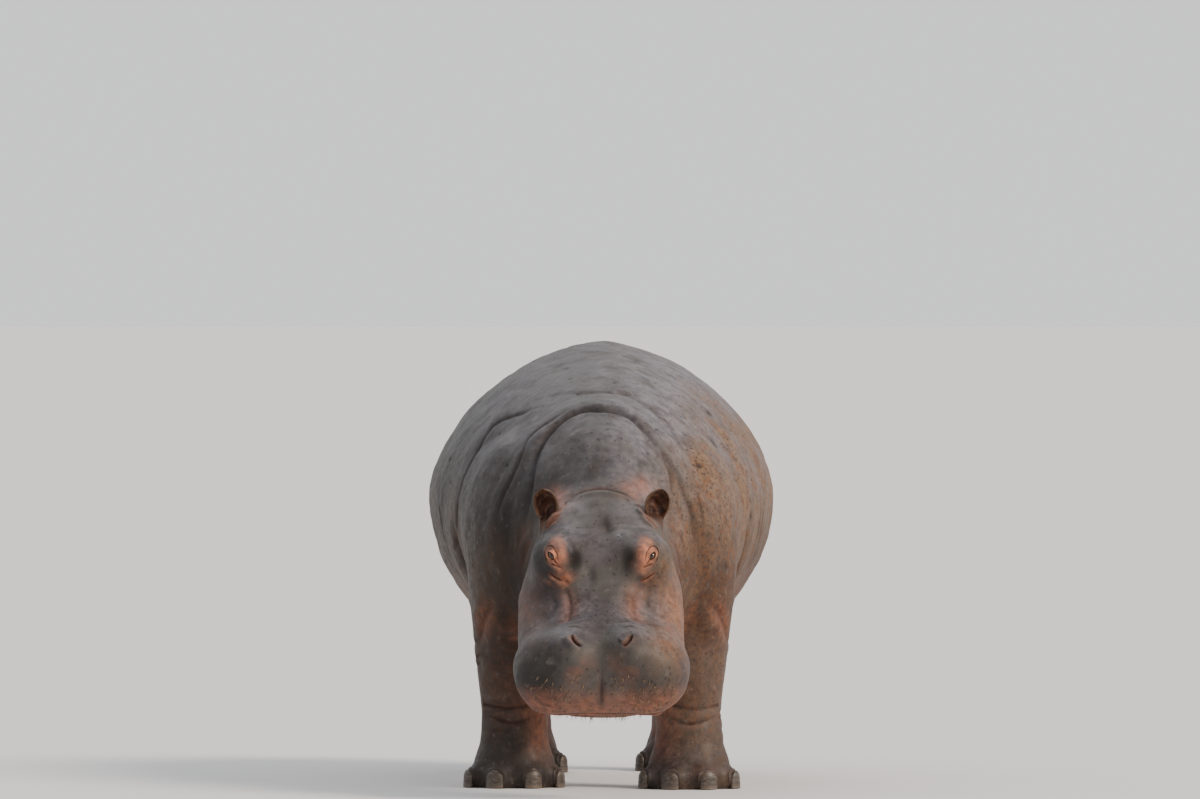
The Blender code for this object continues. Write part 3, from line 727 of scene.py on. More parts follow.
@dataclass
class Folds:
    """Lays folds on the animal and carves them into a mesh."""

    anatomy: Anatomy
    step: float = 0.008  # between the points of a laid line
    leap: float = 0.032  # a longer step has crossed a gap, where no fold shows
    far: float = 2.5  # from where lines are cast on the animal
    behind_jowls: float = -0.56
    dark_width: float = 0.008  # creases wider than this gather less dirt and less painted shade

    def placed(self, fold: Fold, sign: int) -> tuple[Array, Array]:
        """Where a fold's line starts before it is cast, and its heading.

        Args:
            fold: The fold.
            sign: 1 for the animal's left side and 1 for a fold that isn't paired, else -1.

        Returns:
            Starts and headings, one row for each point of the line.
        """
        route = self.smooth_line(np.array(fold.route, float))
        u, v = route[:, 0], route[:, 1]
        zero, far = np.zeros_like(u), np.full_like(u, self.far)
        rows = {
            View.FRONT: (sign * u, -far, v, (0, 1, 0)),
            View.NAPE: (sign * u, self.behind_jowls + zero, v, (0, 1, 0)),
            View.REAR: (sign * u, far * 1.4, v, (0, -1, 0)),
            View.FLANK: (sign * far, u, v, (-sign, 0, 0)),
            View.FACE: (far * 0.4, sign * u, v, (-1, 0, 0)),
            View.BROW: (u, sign * v, far * 0.3, (0, 0, -1)),
            View.CHEEK: (u, sign * far * 0.3, v, (0, -sign, 0)),
            View.CHIN: (u, sign * v, -far * 0.3, (0, 0, 1)),
        }[fold.view]
        starts = np.stack(rows[:3], 1)
        heading = np.tile(np.array(rows[3], float), (len(u), 1))
        if fold.view in (View.FACE, View.BROW, View.CHEEK, View.CHIN):
            starts = moved(starts, self.anatomy.head)
            heading = turned(heading, self.anatomy.head)
        return starts, heading

    def smooth_line(self, knots: Array) -> Array:
        """A smooth line through the knots with a point about every step."""
        if len(knots) == 2:
            knots = np.stack([knots[0], knots.mean(0), knots[1]])
        length = np.concatenate([[0], np.cumsum(np.linalg.norm(np.diff(knots, axis=0), axis=1))])
        t = np.linspace(0, length[-1], max(6, int(length[-1] / self.step)))
        padded = np.vstack([2 * knots[0] - knots[1], knots, 2 * knots[-1] - knots[-2]])
        i = np.clip(np.searchsorted(length, t, side="right") - 1, 0, len(knots) - 2)
        h = ((t - length[i]) / (length[i + 1] - length[i]))[:, None]
        a, b, c, d = (padded[i + k] for k in range(4))
        bend, twist = 2 * a - 5 * b + 4 * c - d, 3 * b - a - 3 * c + d
        return 0.5 * (2 * b + (c - a) * h + bend * h**2 + twist * h**3)

    def lay(self, folds: Sequence[Fold]) -> list[tuple[Fold, Array, Array]]:
        """Casts every fold's line on the animal.

        Args:
            folds: The folds to lay.

        Returns:
            For each line its fold, its points and the skin's normals there.
        """
        jobs = []
        for fold in folds:
            for sign in (1, -1) if fold.paired else (1,):
                jobs.append((fold, *self.placed(fold, sign)))
        points = self.anatomy.cast(np.concatenate([j[1] for j in jobs]), np.concatenate([j[2] for j in jobs]))
        normals = unit(self.anatomy.slope(points))
        laid, start = [], 0
        for fold, starts, _ in jobs:
            end = start + len(starts)
            laid.append((fold, points[start:end], normals[start:end]))
            start = end
        return laid

    @staticmethod
    def nearest(
        points: Array, line: Array, run: Array, closest: Array
    ) -> tuple[Array, Array, Array, Array]:
        """Finds the nearest place of a line for each point.

        Args:
            points: Places near the line.
            line: The line's points.
            run: From each of them to the next.
            closest: The closest of them to each place.

        Returns:
            The stretch of line, the share along it, the distance and the offset from it.
        """
        best, distance = np.zeros(len(points), int), np.full(len(points), np.inf)
        share, offset = np.zeros(len(points)), np.zeros_like(points)
        for side in (-1, 0):
            k = np.clip(closest + side, 0, len(run) - 1)
            h = ((points - line[k]) * run[k]).sum(1) / np.maximum((run[k] ** 2).sum(1), 1e-12)
            h = np.clip(h, 0, 1)
            away = points - line[k] - h[:, None] * run[k]
            length = np.linalg.norm(away, axis=1)
            nearer = length < distance
            for kept, found in ((best, k), (distance, length), (share, h), (offset, away)):
                kept[nearer] = found[nearer]
        return best, share, distance, offset

    def carve(self, points: Array, laid: Sequence[tuple[Fold, Array, Array]]) -> tuple[Array, Array, Array]:
        """Works out how far the folds lift or sink each point of the hide.

        Args:
            points: The hide's points.
            laid: Folds with their lines.

        Returns:
            Lift along the normal, how deep in a crease each point is (0 to 1), which carries the painted
            shade and dirt of creases, and how flushed.
        """
        lift, crease, flush = (np.zeros(len(points)) for _ in range(3))
        for fold, line, normals in laid:
            reach = 3 * fold.width + (2.5 * fold.spread if fold.roll else 0)
            low, high = line.min(0) - reach, line.max(0) + reach
            near = np.flatnonzero(np.all((points > low) & (points < high), axis=1))
            if not len(near):
                continue
            p = points[near]
            gap = (p**2).sum(1)[:, None] - 2 * p @ line.T + (line**2).sum(1)[None]
            closest = gap.argmin(1)
            close = gap[np.arange(len(p)), closest] < (reach + self.step) ** 2
            near, p, closest = near[close], p[close], closest[close]
            if not len(near):
                continue
            run = np.diff(line, axis=0)
            best, share, distance, offset = self.nearest(p, line, run, closest)
            along = np.cumsum(np.concatenate([[0], np.linalg.norm(run, axis=1)]))
            t = (along[best] + share * (along[best + 1] - along[best])) / max(along[-1], 1e-6)
            aside = unit(np.cross(run[best], normals[best]))
            across = (offset * aside).sum(1)
            fade = smoothstep(0, fold.fade, t) * smoothstep(1, 1 - fold.fade, t)
            fade *= np.linalg.norm(run, axis=1)[best] < self.leap
            groove = (0.65 * bell(distance, fold.width) + 0.35 * bell(distance, 0.5 * fold.width)) * fade
            lift[near] -= fold.depth * groove
            if fold.roll:
                middle = math.copysign(fold.width + 0.9 * fold.spread, fold.roll)
                beside = bell(across - middle, fold.spread) * (distance < abs(across) + 0.3 * fold.spread)
                lift[near] += abs(fold.roll) * beside * fade
            if fold.depth > 0:
                # narrow creases get painted shade as well as dirt
                dirt_and_shade = min(1.0, self.dark_width / fold.width) ** 1.5
                crease[near] = np.maximum(crease[near], groove * dirt_and_shade)
                flush[near] = np.maximum(flush[near], fold.flush * bell(distance, 2.2 * fold.width) * fade)
        return lift, crease, flush


def fanned(fold: Fold, count: int, shift: tuple, jitter: float, seed: int) -> list[Fold]:
    """Repeats a fold side by side with small differences.

    Args:
        fold: The first one.
        count: How many to make.
        shift: From one to the next, in the fold's drawing axes.
        jitter: How far each point strays.
        seed: Picks the pattern of strays.

    Returns:
        The folds.
    """
    draw = np.random.default_rng(seed)
    made = []
    for k in range(count):
        stray = draw.normal(0, jitter, (len(fold.route), 2))
        route = np.array(fold.route) + np.array(shift) * k + stray
        scale = draw.uniform(0.6, 1.1)
        made.append(replace(fold, route=route, depth=fold.depth * scale, roll=fold.roll * scale))
    return made


def neck_folds() -> list[Fold]:
    """The great rolls of the nape and shoulders, seen as arches from the front."""
    nape = ((-0.241, 0.84), (-0.240, 0.90), (-0.231, 0.975),
            (-0.204, 1.11), (-0.149, 1.185), (-0.081, 1.226))
    nape += ((-0.013, 1.237), (0.082, 1.219), (0.143, 1.165), (0.190, 1.11),
             (0.218, 1.056), (0.231, 0.988), (0.236, 0.86))
    ruff = ((-0.345, 0.80), (-0.327, 0.934), (-0.271, 1.043),
            (-0.231, 1.138), (-0.149, 1.203), (-0.07, 1.245))
    far_ruff = ((0.145, 1.165), (0.200, 1.10), (0.240, 1.035), (0.267, 0.967), (0.294, 0.891), (0.305, 0.78))
    shoulder = ((-0.480, 0.74), (-0.469, 0.911), (-0.432, 1.052),
                (-0.356, 1.175), (-0.244, 1.224), (-0.132, 1.254))
    crest = ((-0.258, 1.250), (-0.122, 1.280), (0.013, 1.290), (0.122, 1.262),
             (0.218, 1.178), (0.285, 1.07), (0.340, 0.947))
    return [
        Fold(View.NAPE, nape[:9], 0.015, 0.016, -0.007, 0.055, paired=False, fade=0.22),
        Fold(View.NAPE, nape[4:], 0.015, 0.010, -0.006, 0.050, paired=False, fade=0.30),
        Fold(View.NAPE, ruff, 0.013, 0.008, -0.004, 0.045, paired=False, fade=0.30),
        Fold(View.NAPE, far_ruff, 0.013, 0.011, -0.006, 0.035, paired=False, fade=0.30),
        Fold(View.NAPE, ((0.300, 1.00), (0.318, 0.93), (0.335, 0.84)),
             0.010, 0.006, 0.003, 0.025, paired=False, fade=0.45),
        Fold(View.NAPE, shoulder, 0.011, 0.006, -0.004, 0.045, paired=False, fade=0.30),
        Fold(View.NAPE, crest, 0.022, 0.005, -0.004, 0.05, paired=False, fade=0.35),
    ]


def body_folds() -> list[Fold]:
    """Creases of the flanks, belly, rump and legs."""
    flank, rear = View.FLANK, View.REAR
    folds = [
        Fold(flank, ((0.21, 0.90), (0.235, 0.78), (0.215, 0.64), (0.17, 0.54), (0.14, 0.49)),
             0.032, 0.018, 0.006, 0.06, fade=0.35),
        Fold(flank, ((-0.05, 1.12), (0.10, 1.16), (0.24, 1.08), (0.30, 0.94)), 0.050, 0.006, fade=0.45),
        Fold(flank, ((1.06, 0.86), (1.075, 0.72), (1.10, 0.60), (1.14, 0.52)),
             0.032, 0.015, -0.008, 0.06, fade=0.35),
        Fold(flank, ((1.14, 0.52), (1.04, 0.47), (0.92, 0.43)), 0.024, 0.010, 0.004, 0.04, fade=0.4),
        Fold(flank, ((1.10, 1.22), (1.25, 1.14), (1.36, 1.02)), 0.060, 0.006, fade=0.45),
        Fold(flank, ((-0.20, 0.62), (-0.12, 0.56), (-0.06, 0.50), (-0.02, 0.45)),
             0.018, 0.010, 0.005, 0.035, 0.3, fade=0.4),
        Fold(rear, ((0.05, 0.93), (0.035, 0.80), (0.03, 0.68), (0.028, 0.56)),
             0.022, 0.016, -0.006, 0.05, 0.25),
        Fold(rear, ((0.15, 0.62), (0.22, 0.565), (0.31, 0.55)), 0.014, 0.006, 0.004, 0.03, 0.2, fade=0.4),
    ]
    # each stack: its first line, how many, from one to the next, how far they stray, and the seed
    stacks = [
        (Fold(flank, ((0.36, 0.66), (0.39, 0.84), (0.42, 1.00)),
              0.014, 0.0016, 0.001, 0.03, fade=0.5), 5, (0.135, 0.0), 0.030, 11),
        (Fold(flank, ((-0.06, 0.480), (0.03, 0.462), (0.12, 0.480)),
              0.008, 0.0030, 0.0015, 0.016, 0.1, fade=0.45), 3, (0.01, -0.040), 0.010, 12),
        (Fold(flank, ((-0.10, 0.205), (-0.03, 0.190), (0.05, 0.200)),
              0.007, 0.0028, 0.0015, 0.015, 0.1, fade=0.45), 3, (0.006, 0.034), 0.007, 13),
        (Fold(flank, ((1.28, 0.230), (1.38, 0.215), (1.47, 0.235)),
              0.007, 0.0028, 0.0015, 0.015, 0.1, fade=0.45), 3, (0.008, 0.036), 0.007, 14),
        (Fold(flank, ((1.22, 0.43), (1.32, 0.415), (1.41, 0.43)),
              0.009, 0.0030, 0.0015, 0.018, 0.1, fade=0.45), 2, (0.01, 0.042), 0.010, 15),
        (Fold(View.FRONT, ((0.19, 0.205), (0.29, 0.188), (0.39, 0.205)),
              0.007, 0.0030, 0.002, 0.015, 0.1, fade=0.45), 3, (0.0, 0.034), 0.007, 16),
        (Fold(rear, ((0.19, 0.245), (0.28, 0.225), (0.37, 0.240)),
              0.008, 0.0030, 0.002, 0.016, 0.1, fade=0.45), 3, (0.0, 0.036), 0.008, 17),
        (Fold(rear, ((0.030, 0.93), (0.0, 0.925), (-0.030, 0.93)),
              0.005, 0.0014, 0.001, 0.010, paired=False), 5, (0.0, 0.028), 0.002, 18),
    ]
    for stack in stacks:
        folds += fanned(*stack)
    return folds


def head_folds() -> list[Fold]:
    """Creases of the muzzle, lips, cheeks, brow and throat."""
    face, brow, cheek, chin, front = View.FACE, View.BROW, View.CHEEK, View.CHIN, View.FRONT
    lip = ((0.50, -0.262), (0.42, -0.285), (0.33, -0.287), (0.24, -0.262), (0.16, -0.228))
    lip += ((0.08, -0.212), (0.01, -0.218), (-0.045, -0.246), (-0.065, -0.285))
    lip_front = ((-0.22, -0.272), (-0.12, -0.262), (0.0, -0.256), (0.12, -0.262), (0.22, -0.272))
    tear = ((0.150, 0.715), (0.134, 0.695), (0.116, 0.668), (0.104, 0.635), (0.102, 0.600), (0.110, 0.560))
    poll = ((-0.105, 0.935), (-0.05, 0.966), (0.012, 0.972), (0.075, 0.955), (0.112, 0.925))
    nostril = ((0.462, 0.062), (0.452, 0.079), (0.432, 0.092), (0.410, 0.096))
    folds = [
        Fold(cheek, lip, 0.006, 0.014, 0.006, 0.020, 0.45, fade=0.08),
        Fold(face, lip_front, 0.006, 0.014, 0.004, 0.020, 0.35, False, 0.05),
        Fold(cheek, ((-0.02, -0.19), (-0.075, -0.225), (-0.095, -0.275), (-0.09, -0.33)),
             0.009, 0.004, 0.003, 0.02, 0.25, fade=0.4),
        Fold(cheek, ((-0.06, -0.17), (-0.115, -0.22), (-0.130, -0.28), (-0.12, -0.34)),
             0.010, 0.003, 0.002, 0.02, 0.15, fade=0.4),
        Fold(face, ((0.0, -0.05), (0.0, -0.12), (0.0, -0.19), (0.0, -0.25)),
             0.010, 0.004, paired=False, fade=0.5),
        Fold(brow, nostril, 0.0050, 0.016, -0.006, 0.014, 0.3, fade=0.22),
        Fold(brow, ((0.378, 0.060), (0.360, 0.088), (0.366, 0.118)), 0.010, 0.003, -0.003, 0.016, fade=0.4),
        # the furrow that runs down from the eye's inner corner, and a softer one beside it
        Fold(front, tuple((-x, z) for x, z in tear), 0.014, 0.007, -0.004, 0.026, 0.30, False, 0.40),
        Fold(front, tear, 0.016, 0.006, 0.003, 0.030, 0.35, False, 0.40),
        Fold(front, ((-0.136, 0.716), (-0.116, 0.698), (-0.098, 0.676)),
             0.011, 0.003, 0.002, 0.018, 0.95, False, 0.35),
        Fold(front, ((0.092, 0.690), (0.082, 0.650), (0.086, 0.600)),
             0.018, 0.003, 0.003, 0.028, fade=0.45),
        Fold(front, ((0.165, 0.660), (0.150, 0.625), (0.152, 0.585)),
             0.014, 0.003, 0.003, 0.024, fade=0.45),
        # two creases that cross below the eye, with a pink fold between them
        Fold(front, ((0.126, 0.733), (0.142, 0.742), (0.168, 0.751)),
             0.0032, 0.0040, -0.002, 0.010, 0.6, fade=0.35),
        Fold(front, ((0.116, 0.690), (0.140, 0.700), (0.176, 0.724)),
             0.0045, 0.0050, -0.004, 0.013, 0.6, fade=0.35),
        # hollows between the sockets and the bridge of the nose, and the brow's dimple
        Fold(front, ((0.092, 0.805), (0.086, 0.765), (0.094, 0.725)), 0.028, 0.008, fade=0.5),
        Fold(front, ((0.000, 0.905), (0.012, 0.872), (0.024, 0.844), (0.024, 0.826)),
             0.020, 0.007, 0.003, 0.04, 0.0, False, 0.4),
        Fold(front, ((-0.030, 0.760), (-0.036, 0.720), (-0.030, 0.680)),
             0.028, 0.004, paired=False, fade=0.5),
        Fold(front, poll, 0.008, -0.004, paired=False, fade=0.3),
        Fold(front, tuple((x * 1.05, z + 0.014) for x, z in poll),
             0.007, 0.006, 0.003, 0.02, 0.1, False, 0.3),
        Fold(View.NAPE, ((-0.05, 1.02), (-0.012, 1.06), (0.002, 1.10)),
             0.026, 0.004, paired=False, fade=0.5),
        Fold(View.NAPE, ((0.030, 1.03), (0.020, 1.08), (0.022, 1.13)),
             0.026, 0.003, paired=False, fade=0.5),
    ]
    stacks = [
        (Fold(front, ((0.100, 0.948), (0.126, 0.930), (0.150, 0.902)),
              0.0040, 0.0058, 0.004, 0.008, 0.45, fade=0.30), 5, (0.009, -0.013), 0.002, 21),
        (Fold(cheek, ((-0.24, -0.12), (-0.265, -0.21), (-0.25, -0.31)),
              0.014, 0.004, 0.003, 0.03, 0.1, fade=0.45), 2, (-0.060, 0.0), 0.008, 22),
        (Fold(chin, ((-0.05, -0.10), (-0.06, 0.0), (-0.05, 0.10)),
              0.012, 0.004, 0.003, 0.026, 0.2, False, 0.45), 4, (-0.066, 0.0), 0.004, 23),
        (Fold(face, ((0.08, -0.305), (0.14, -0.315), (0.18, -0.330)),
              0.007, 0.002, 0.001, 0.012, 0.1, fade=0.45), 2, (0.0, -0.022), 0.003, 25),
    ]
    for stack in stacks:
        folds += fanned(*stack)
    return folds


# -------- ears
@dataclass
class Ear:
    """A small upright cup on a short stalk, drawn as rings that open from an oval to a crescent."""

    anatomy: Anatomy
    sign: int
    around: int = 72
    levels: int = 40
    wall: float = 0.0065
    stalk_front: float = 0.018
    lip: float = 0.0030
    ridge: float = 0.0030
    ridge_gap: float = 0.023
    lean: float = 0.006  # of the tip towards the opening
    root: float = 0.010  # height of the lowest ring
    # of the hide's opening: half length ahead and behind, half width, half height
    hole: tuple = (0.036, 0.054, 0.042, 0.06)
    # (height, half width, depth of the back, how far the front has opened)
    rings: tuple = (
        (-0.040, 0.021, 0.018, 0.0),
        (0.002, 0.025, 0.021, 0.0),
        (0.016, 0.0290, 0.025, 0.5),
        (0.034, 0.0375, 0.030, 1.0),
        (0.058, 0.0430, 0.030, 1.0),
        (0.078, 0.0405, 0.025, 1.0),
        (0.094, 0.0310, 0.018, 1.0),
        (0.1020, 0.0210, 0.012, 1.0),
        (0.1065, 0.0110, 0.007, 1.0),
        (0.1085, 0.0035, 0.003, 1.0),
    )

    def frame(self) -> Matrix:
        """Origin at the root; axes towards the opening, across the width and along the rise."""
        sign = self.sign
        root = self.anatomy.head @ Vector((-0.17, sign * 0.170, -0.02))
        rise = Vector((sign * 0.16, 0.02, 1.0)).normalized()
        facing = Vector((sign * 0.38, -1.0, 0.0))
        facing = (facing - rise * facing.dot(rise)).normalized()
        return axes_matrix(root, facing, rise.cross(facing), rise)

    def heights(self) -> Array:
        """The rings' heights, closer together towards the tip."""
        t = np.linspace(0, 1, self.levels)
        return self.root + (self.rings[-1][0] - self.root) * (1 - (1 - t) ** 1.25)

    def loops(self) -> Array:
        """Points of every ring, in the ear's frame: rings x points x 3."""
        heights, halves, depths, opened = zip(*self.rings)
        height = self.heights()
        half, depth, open_share = (flow(height, heights, values) for values in (halves, depths, opened))
        side = self.around // 2
        back_turn = np.linspace(0, math.pi, side)
        front_turn = np.linspace(math.pi, 0, side)
        half, depth, open_share = half[:, None], depth[:, None], open_share[:, None]
        outer = np.stack([-depth * np.sin(back_turn), half * np.cos(back_turn)], 2)
        thin = np.minimum(self.wall, 0.45 * depth)
        hollow = -(depth - thin) * open_share + self.stalk_front * (1 - open_share)
        ridges = self.ridge * self.ribs(height[:, None], front_turn) * np.sin(front_turn) ** 2 * open_share
        fold = 0.008 * bell(front_turn - 1.9, 0.35) * smoothstep(0.075, 0.03, height)[:, None] * open_share
        rim = self.lip * (1 - np.sin(front_turn)) ** 2 * open_share
        ahead = hollow * np.sin(front_turn) ** 0.85 + ridges + rim + fold
        narrow = half - thin * open_share * np.minimum(1, half / 0.03)
        inner = np.stack([ahead, narrow * np.cos(front_turn)], 2)
        flat = np.concatenate([outer, inner], 1)
        tall = np.broadcast_to(height[:, None, None], (*flat.shape[:2], 1)).copy()
        wave = 0.0022 * np.sin(3 * np.concatenate([back_turn, front_turn]) + self.sign)[None, :, None]
        tall += wave * smoothstep(0.03, 0.1, height)[:, None, None]
        loops = np.concatenate([flat, tall], 2)
        loops[..., 0] += self.lean * (np.maximum(loops[..., 2], 0) / 0.1) ** 2
        return loops

    def ribs(self, height: Array, turn: Array) -> Array:
        """How far the ribs that curl round the ear's passage stand up, from -1 to 1."""
        outward = 0.038 * np.cos(turn) * self.sign
        reach = np.hypot(outward + 0.010, 0.85 * (height - 0.030))
        reach += 0.0028 * np.sin(70 * height + 3 * turn) + 0.0016 * np.sin(210 * height - 5 * turn)
        broken = 0.45 + 0.55 * np.sin(95 * height + 2.6 * turn + self.sign) ** 2
        return np.cos(math.tau * reach / self.ridge_gap) * smoothstep(0.006, 0.020, reach) * broken

    def tones(self) -> dict[str, Array]:
        """The masks of every ring's points: inside of the cup, lighter rim and ribs, and painted shade in its
        depth.
        """
        heights, _, _, opened = zip(*self.rings)
        height = self.heights()[:, None]
        open_share = flow(height[:, 0], heights, opened)[:, None]
        side = self.around // 2
        turn = np.concatenate([np.full(side, np.nan), np.linspace(math.pi, 0, side)])[None]
        inside = np.where(np.isnan(turn), 0.0, 1.0) * smoothstep(0.15, 0.6, open_share)
        turn = np.nan_to_num(turn)
        edge = np.maximum(1 - np.sin(turn), smoothstep(0.086, 0.104, height))
        rim = smoothstep(0.45, 0.9, edge)
        ribs = smoothstep(0.1, 0.95, self.ribs(height, turn)) * (1 - rim)
        passage = np.hypot(0.038 * np.cos(turn) * self.sign - 0.009, 0.8 * (height - 0.074))
        # painted shade deep in the cup and down its passage
        deep = np.maximum(bell(passage, 0.015), 0.6 * smoothstep(0.034, 0.018, height) * np.sin(turn) ** 1.5)
        outside = (1 - inside) * 0.20
        return {
            "earlobe": np.broadcast_to(inside, (self.levels, self.around)),
            "gilt": np.clip(inside * (0.50 * rim + 0.42 * ribs) * (1 - 0.8 * deep), 0, 1),
            "crease": inside * deep * 0.9,
            "flush": outside * smoothstep(0.10, 0.02, height) + 0 * turn,
            "tan": outside * 1.6 + 0 * turn,
        }

    def world(self, local: Array) -> Array:
        """Takes points from the ear's frame to the animal's."""
        return moved(local, self.frame())

    def local(self, points: Array) -> Array:
        """Takes points to the ear's frame."""
        return moved(points, self.frame().inverted())

    def join(self, bm: bmesh.types.BMesh, strip: tuple[float, float]) -> None:
        """Opens the hide round the ear's root and sews the ear's rings to the edge.

        Args:
            bm: The hide.
            strip: The part of the map's width kept for this ear.
        """
        self.open_hide(bm)
        edge = [e for e in bm.edges if e.is_boundary]
        rows, faces, place = self.add_rings(bm)
        low_ring = set(rows[0])
        edge += [e for e in {e for v in low_ring for e in v.link_edges} if set(e.verts) <= low_ring]
        bridge = bmesh.ops.bridge_loops(bm, edges=edge)["faces"]
        for vert in {vert for face in bridge for vert in face.verts if vert not in place}:
            at = self.local(np.array([vert.co]))[0]
            place[vert] = (math.atan2(-at[0], at[1]) / math.tau % 1, 0.0)
        self.lay_out(bm, faces + bridge, place, strip)
        self.soften(rows, bm)

    def open_hide(self, bm: bmesh.types.BMesh) -> None:
        """Removes the hide's points where the ear's root will stand."""
        ahead, behind, half_width, half_height = self.hole
        near = self.local(np.array([v.co for v in bm.verts]))
        reach = np.where(near[:, 0] < 0, behind, ahead)
        inside = (near[:, 0] / reach) ** 2 + (near[:, 1] / half_width) ** 2 < 1
        inside &= np.abs(near[:, 2]) < half_height
        bm.verts.ensure_lookup_table()
        bmesh.ops.delete(bm, geom=[bm.verts[k] for k in np.flatnonzero(inside)], context="VERTS")

    def add_rings(self, bm: bmesh.types.BMesh) -> tuple[list, list, dict]:
        """Draws the ear's rings and its tip.

        Args:
            bm: The hide.

        Returns:
            The rows of points, the faces, and each point's place on the ear's own map.
        """
        loops = self.loops()
        world = self.world(loops.reshape(-1, 3)).reshape(loops.shape)
        tones = self.tones()
        layers = {name: bm.verts.layers.float[name] for name in tones}
        rows, faces, place = [], [], {}
        for level, ring in enumerate(world):
            rows.append([bm.verts.new(point) for point in ring])
            for k, vert in enumerate(rows[-1]):
                for name, layer in layers.items():
                    vert[layer] = float(tones[name][level, k])
                place[vert] = (k / self.around, (level + 2) / (self.levels + 3))
        tip = bm.verts.new(world[-1].mean(0))
        tip[layers["earlobe"]] = tip[layers["gilt"]] = 0.5
        place[tip] = (0.5, 1.0)
        pairs = [(k, (k + 1) % self.around) for k in range(self.around)]
        for near, far in zip(rows, rows[1:]):
            faces += [bm.faces.new((near[k], near[after], far[after], far[k])) for k, after in pairs]
        faces += [bm.faces.new((rows[-1][k], rows[-1][after], tip)) for k, after in pairs]
        return rows, faces, place

    @staticmethod
    def lay_out(bm: bmesh.types.BMesh, faces: list, place: dict, strip: tuple[float, float]) -> None:
        """Puts the ear's faces on its part of the hide's map.

        Args:
            bm: The hide.
            faces: The ear's faces.
            place: Each point's turn and level, 0 to 1.
            strip: The part of the map's width kept for this ear.
        """
        uv = bm.loops.layers.uv.active
        wide, high = (strip[1] - strip[0]) / 1.1, 0.995 - Hide.map_top
        for face in faces:
            shares = [place[loop.vert][0] for loop in face.loops]
            wraps = max(shares) - min(shares) > 0.5
            for loop, share in zip(face.loops, shares):
                u = share + 1 if wraps and share < 0.5 else share
                loop[uv].uv = (strip[0] + wide * u, Hide.map_top + high * place[loop.vert][1])

    def soften(self, rows: list, bm: bmesh.types.BMesh) -> None:
        """Rounds the joint between the ear's stalk and the hide, and blends their masks."""
        layers = [bm.verts.layers.float[name] for name in Hide.masks]
        ring = {vert for row in rows[:5] for vert in row}
        region = set(ring)
        for _ in range(7):
            region |= {edge.other_vert(vert) for vert in region for edge in vert.link_edges}
        region -= {vert for row in rows[5:] for vert in row}
        bmesh.ops.recalc_face_normals(bm, faces=bm.faces)
        for _ in range(14):
            settled = {}
            for vert in region:
                near = [edge.other_vert(vert) for edge in vert.link_edges]
                middle = sum((other.co for other in near), Vector()) / len(near)
                values = [sum(other[layer] for other in near) / len(near) for layer in layers]
                settled[vert] = (vert.co.lerp(middle, 0.5), values)
            for vert, (place, values) in settled.items():
                vert.co = place
                for layer, value in zip(layers, values):
                    vert[layer] = 0.5 * (vert[layer] + value)

    def rim(self, count: int, seed: int) -> tuple[Array, Array]:
        """Roots and directions for the hairs of the rim.

        Args:
            count: How many hairs.
            seed: Picks their places.

        Returns:
            Roots and directions in the animal's frame.
        """
        draw = np.random.default_rng(seed)
        loops = self.loops()
        edge = np.concatenate([loops[8:, 0], loops[8:, self.around // 2][::-1]])
        places = np.sort(draw.uniform(0, len(edge) - 1.001, count))
        low = places.astype(int)
        share = (places - low)[:, None]
        roots = edge[low] * (1 - share) + edge[low + 1] * share
        roots[:, 0] += draw.uniform(-0.004, 0.002, count)
        outward = roots - np.array([0.0, 0.0, 0.055])
        outward[:, 0] = draw.uniform(-0.01, 0.03, count)
        outward += draw.normal(0, 0.010, outward.shape)
        return self.world(roots), unit(turned(unit(outward), self.frame()))


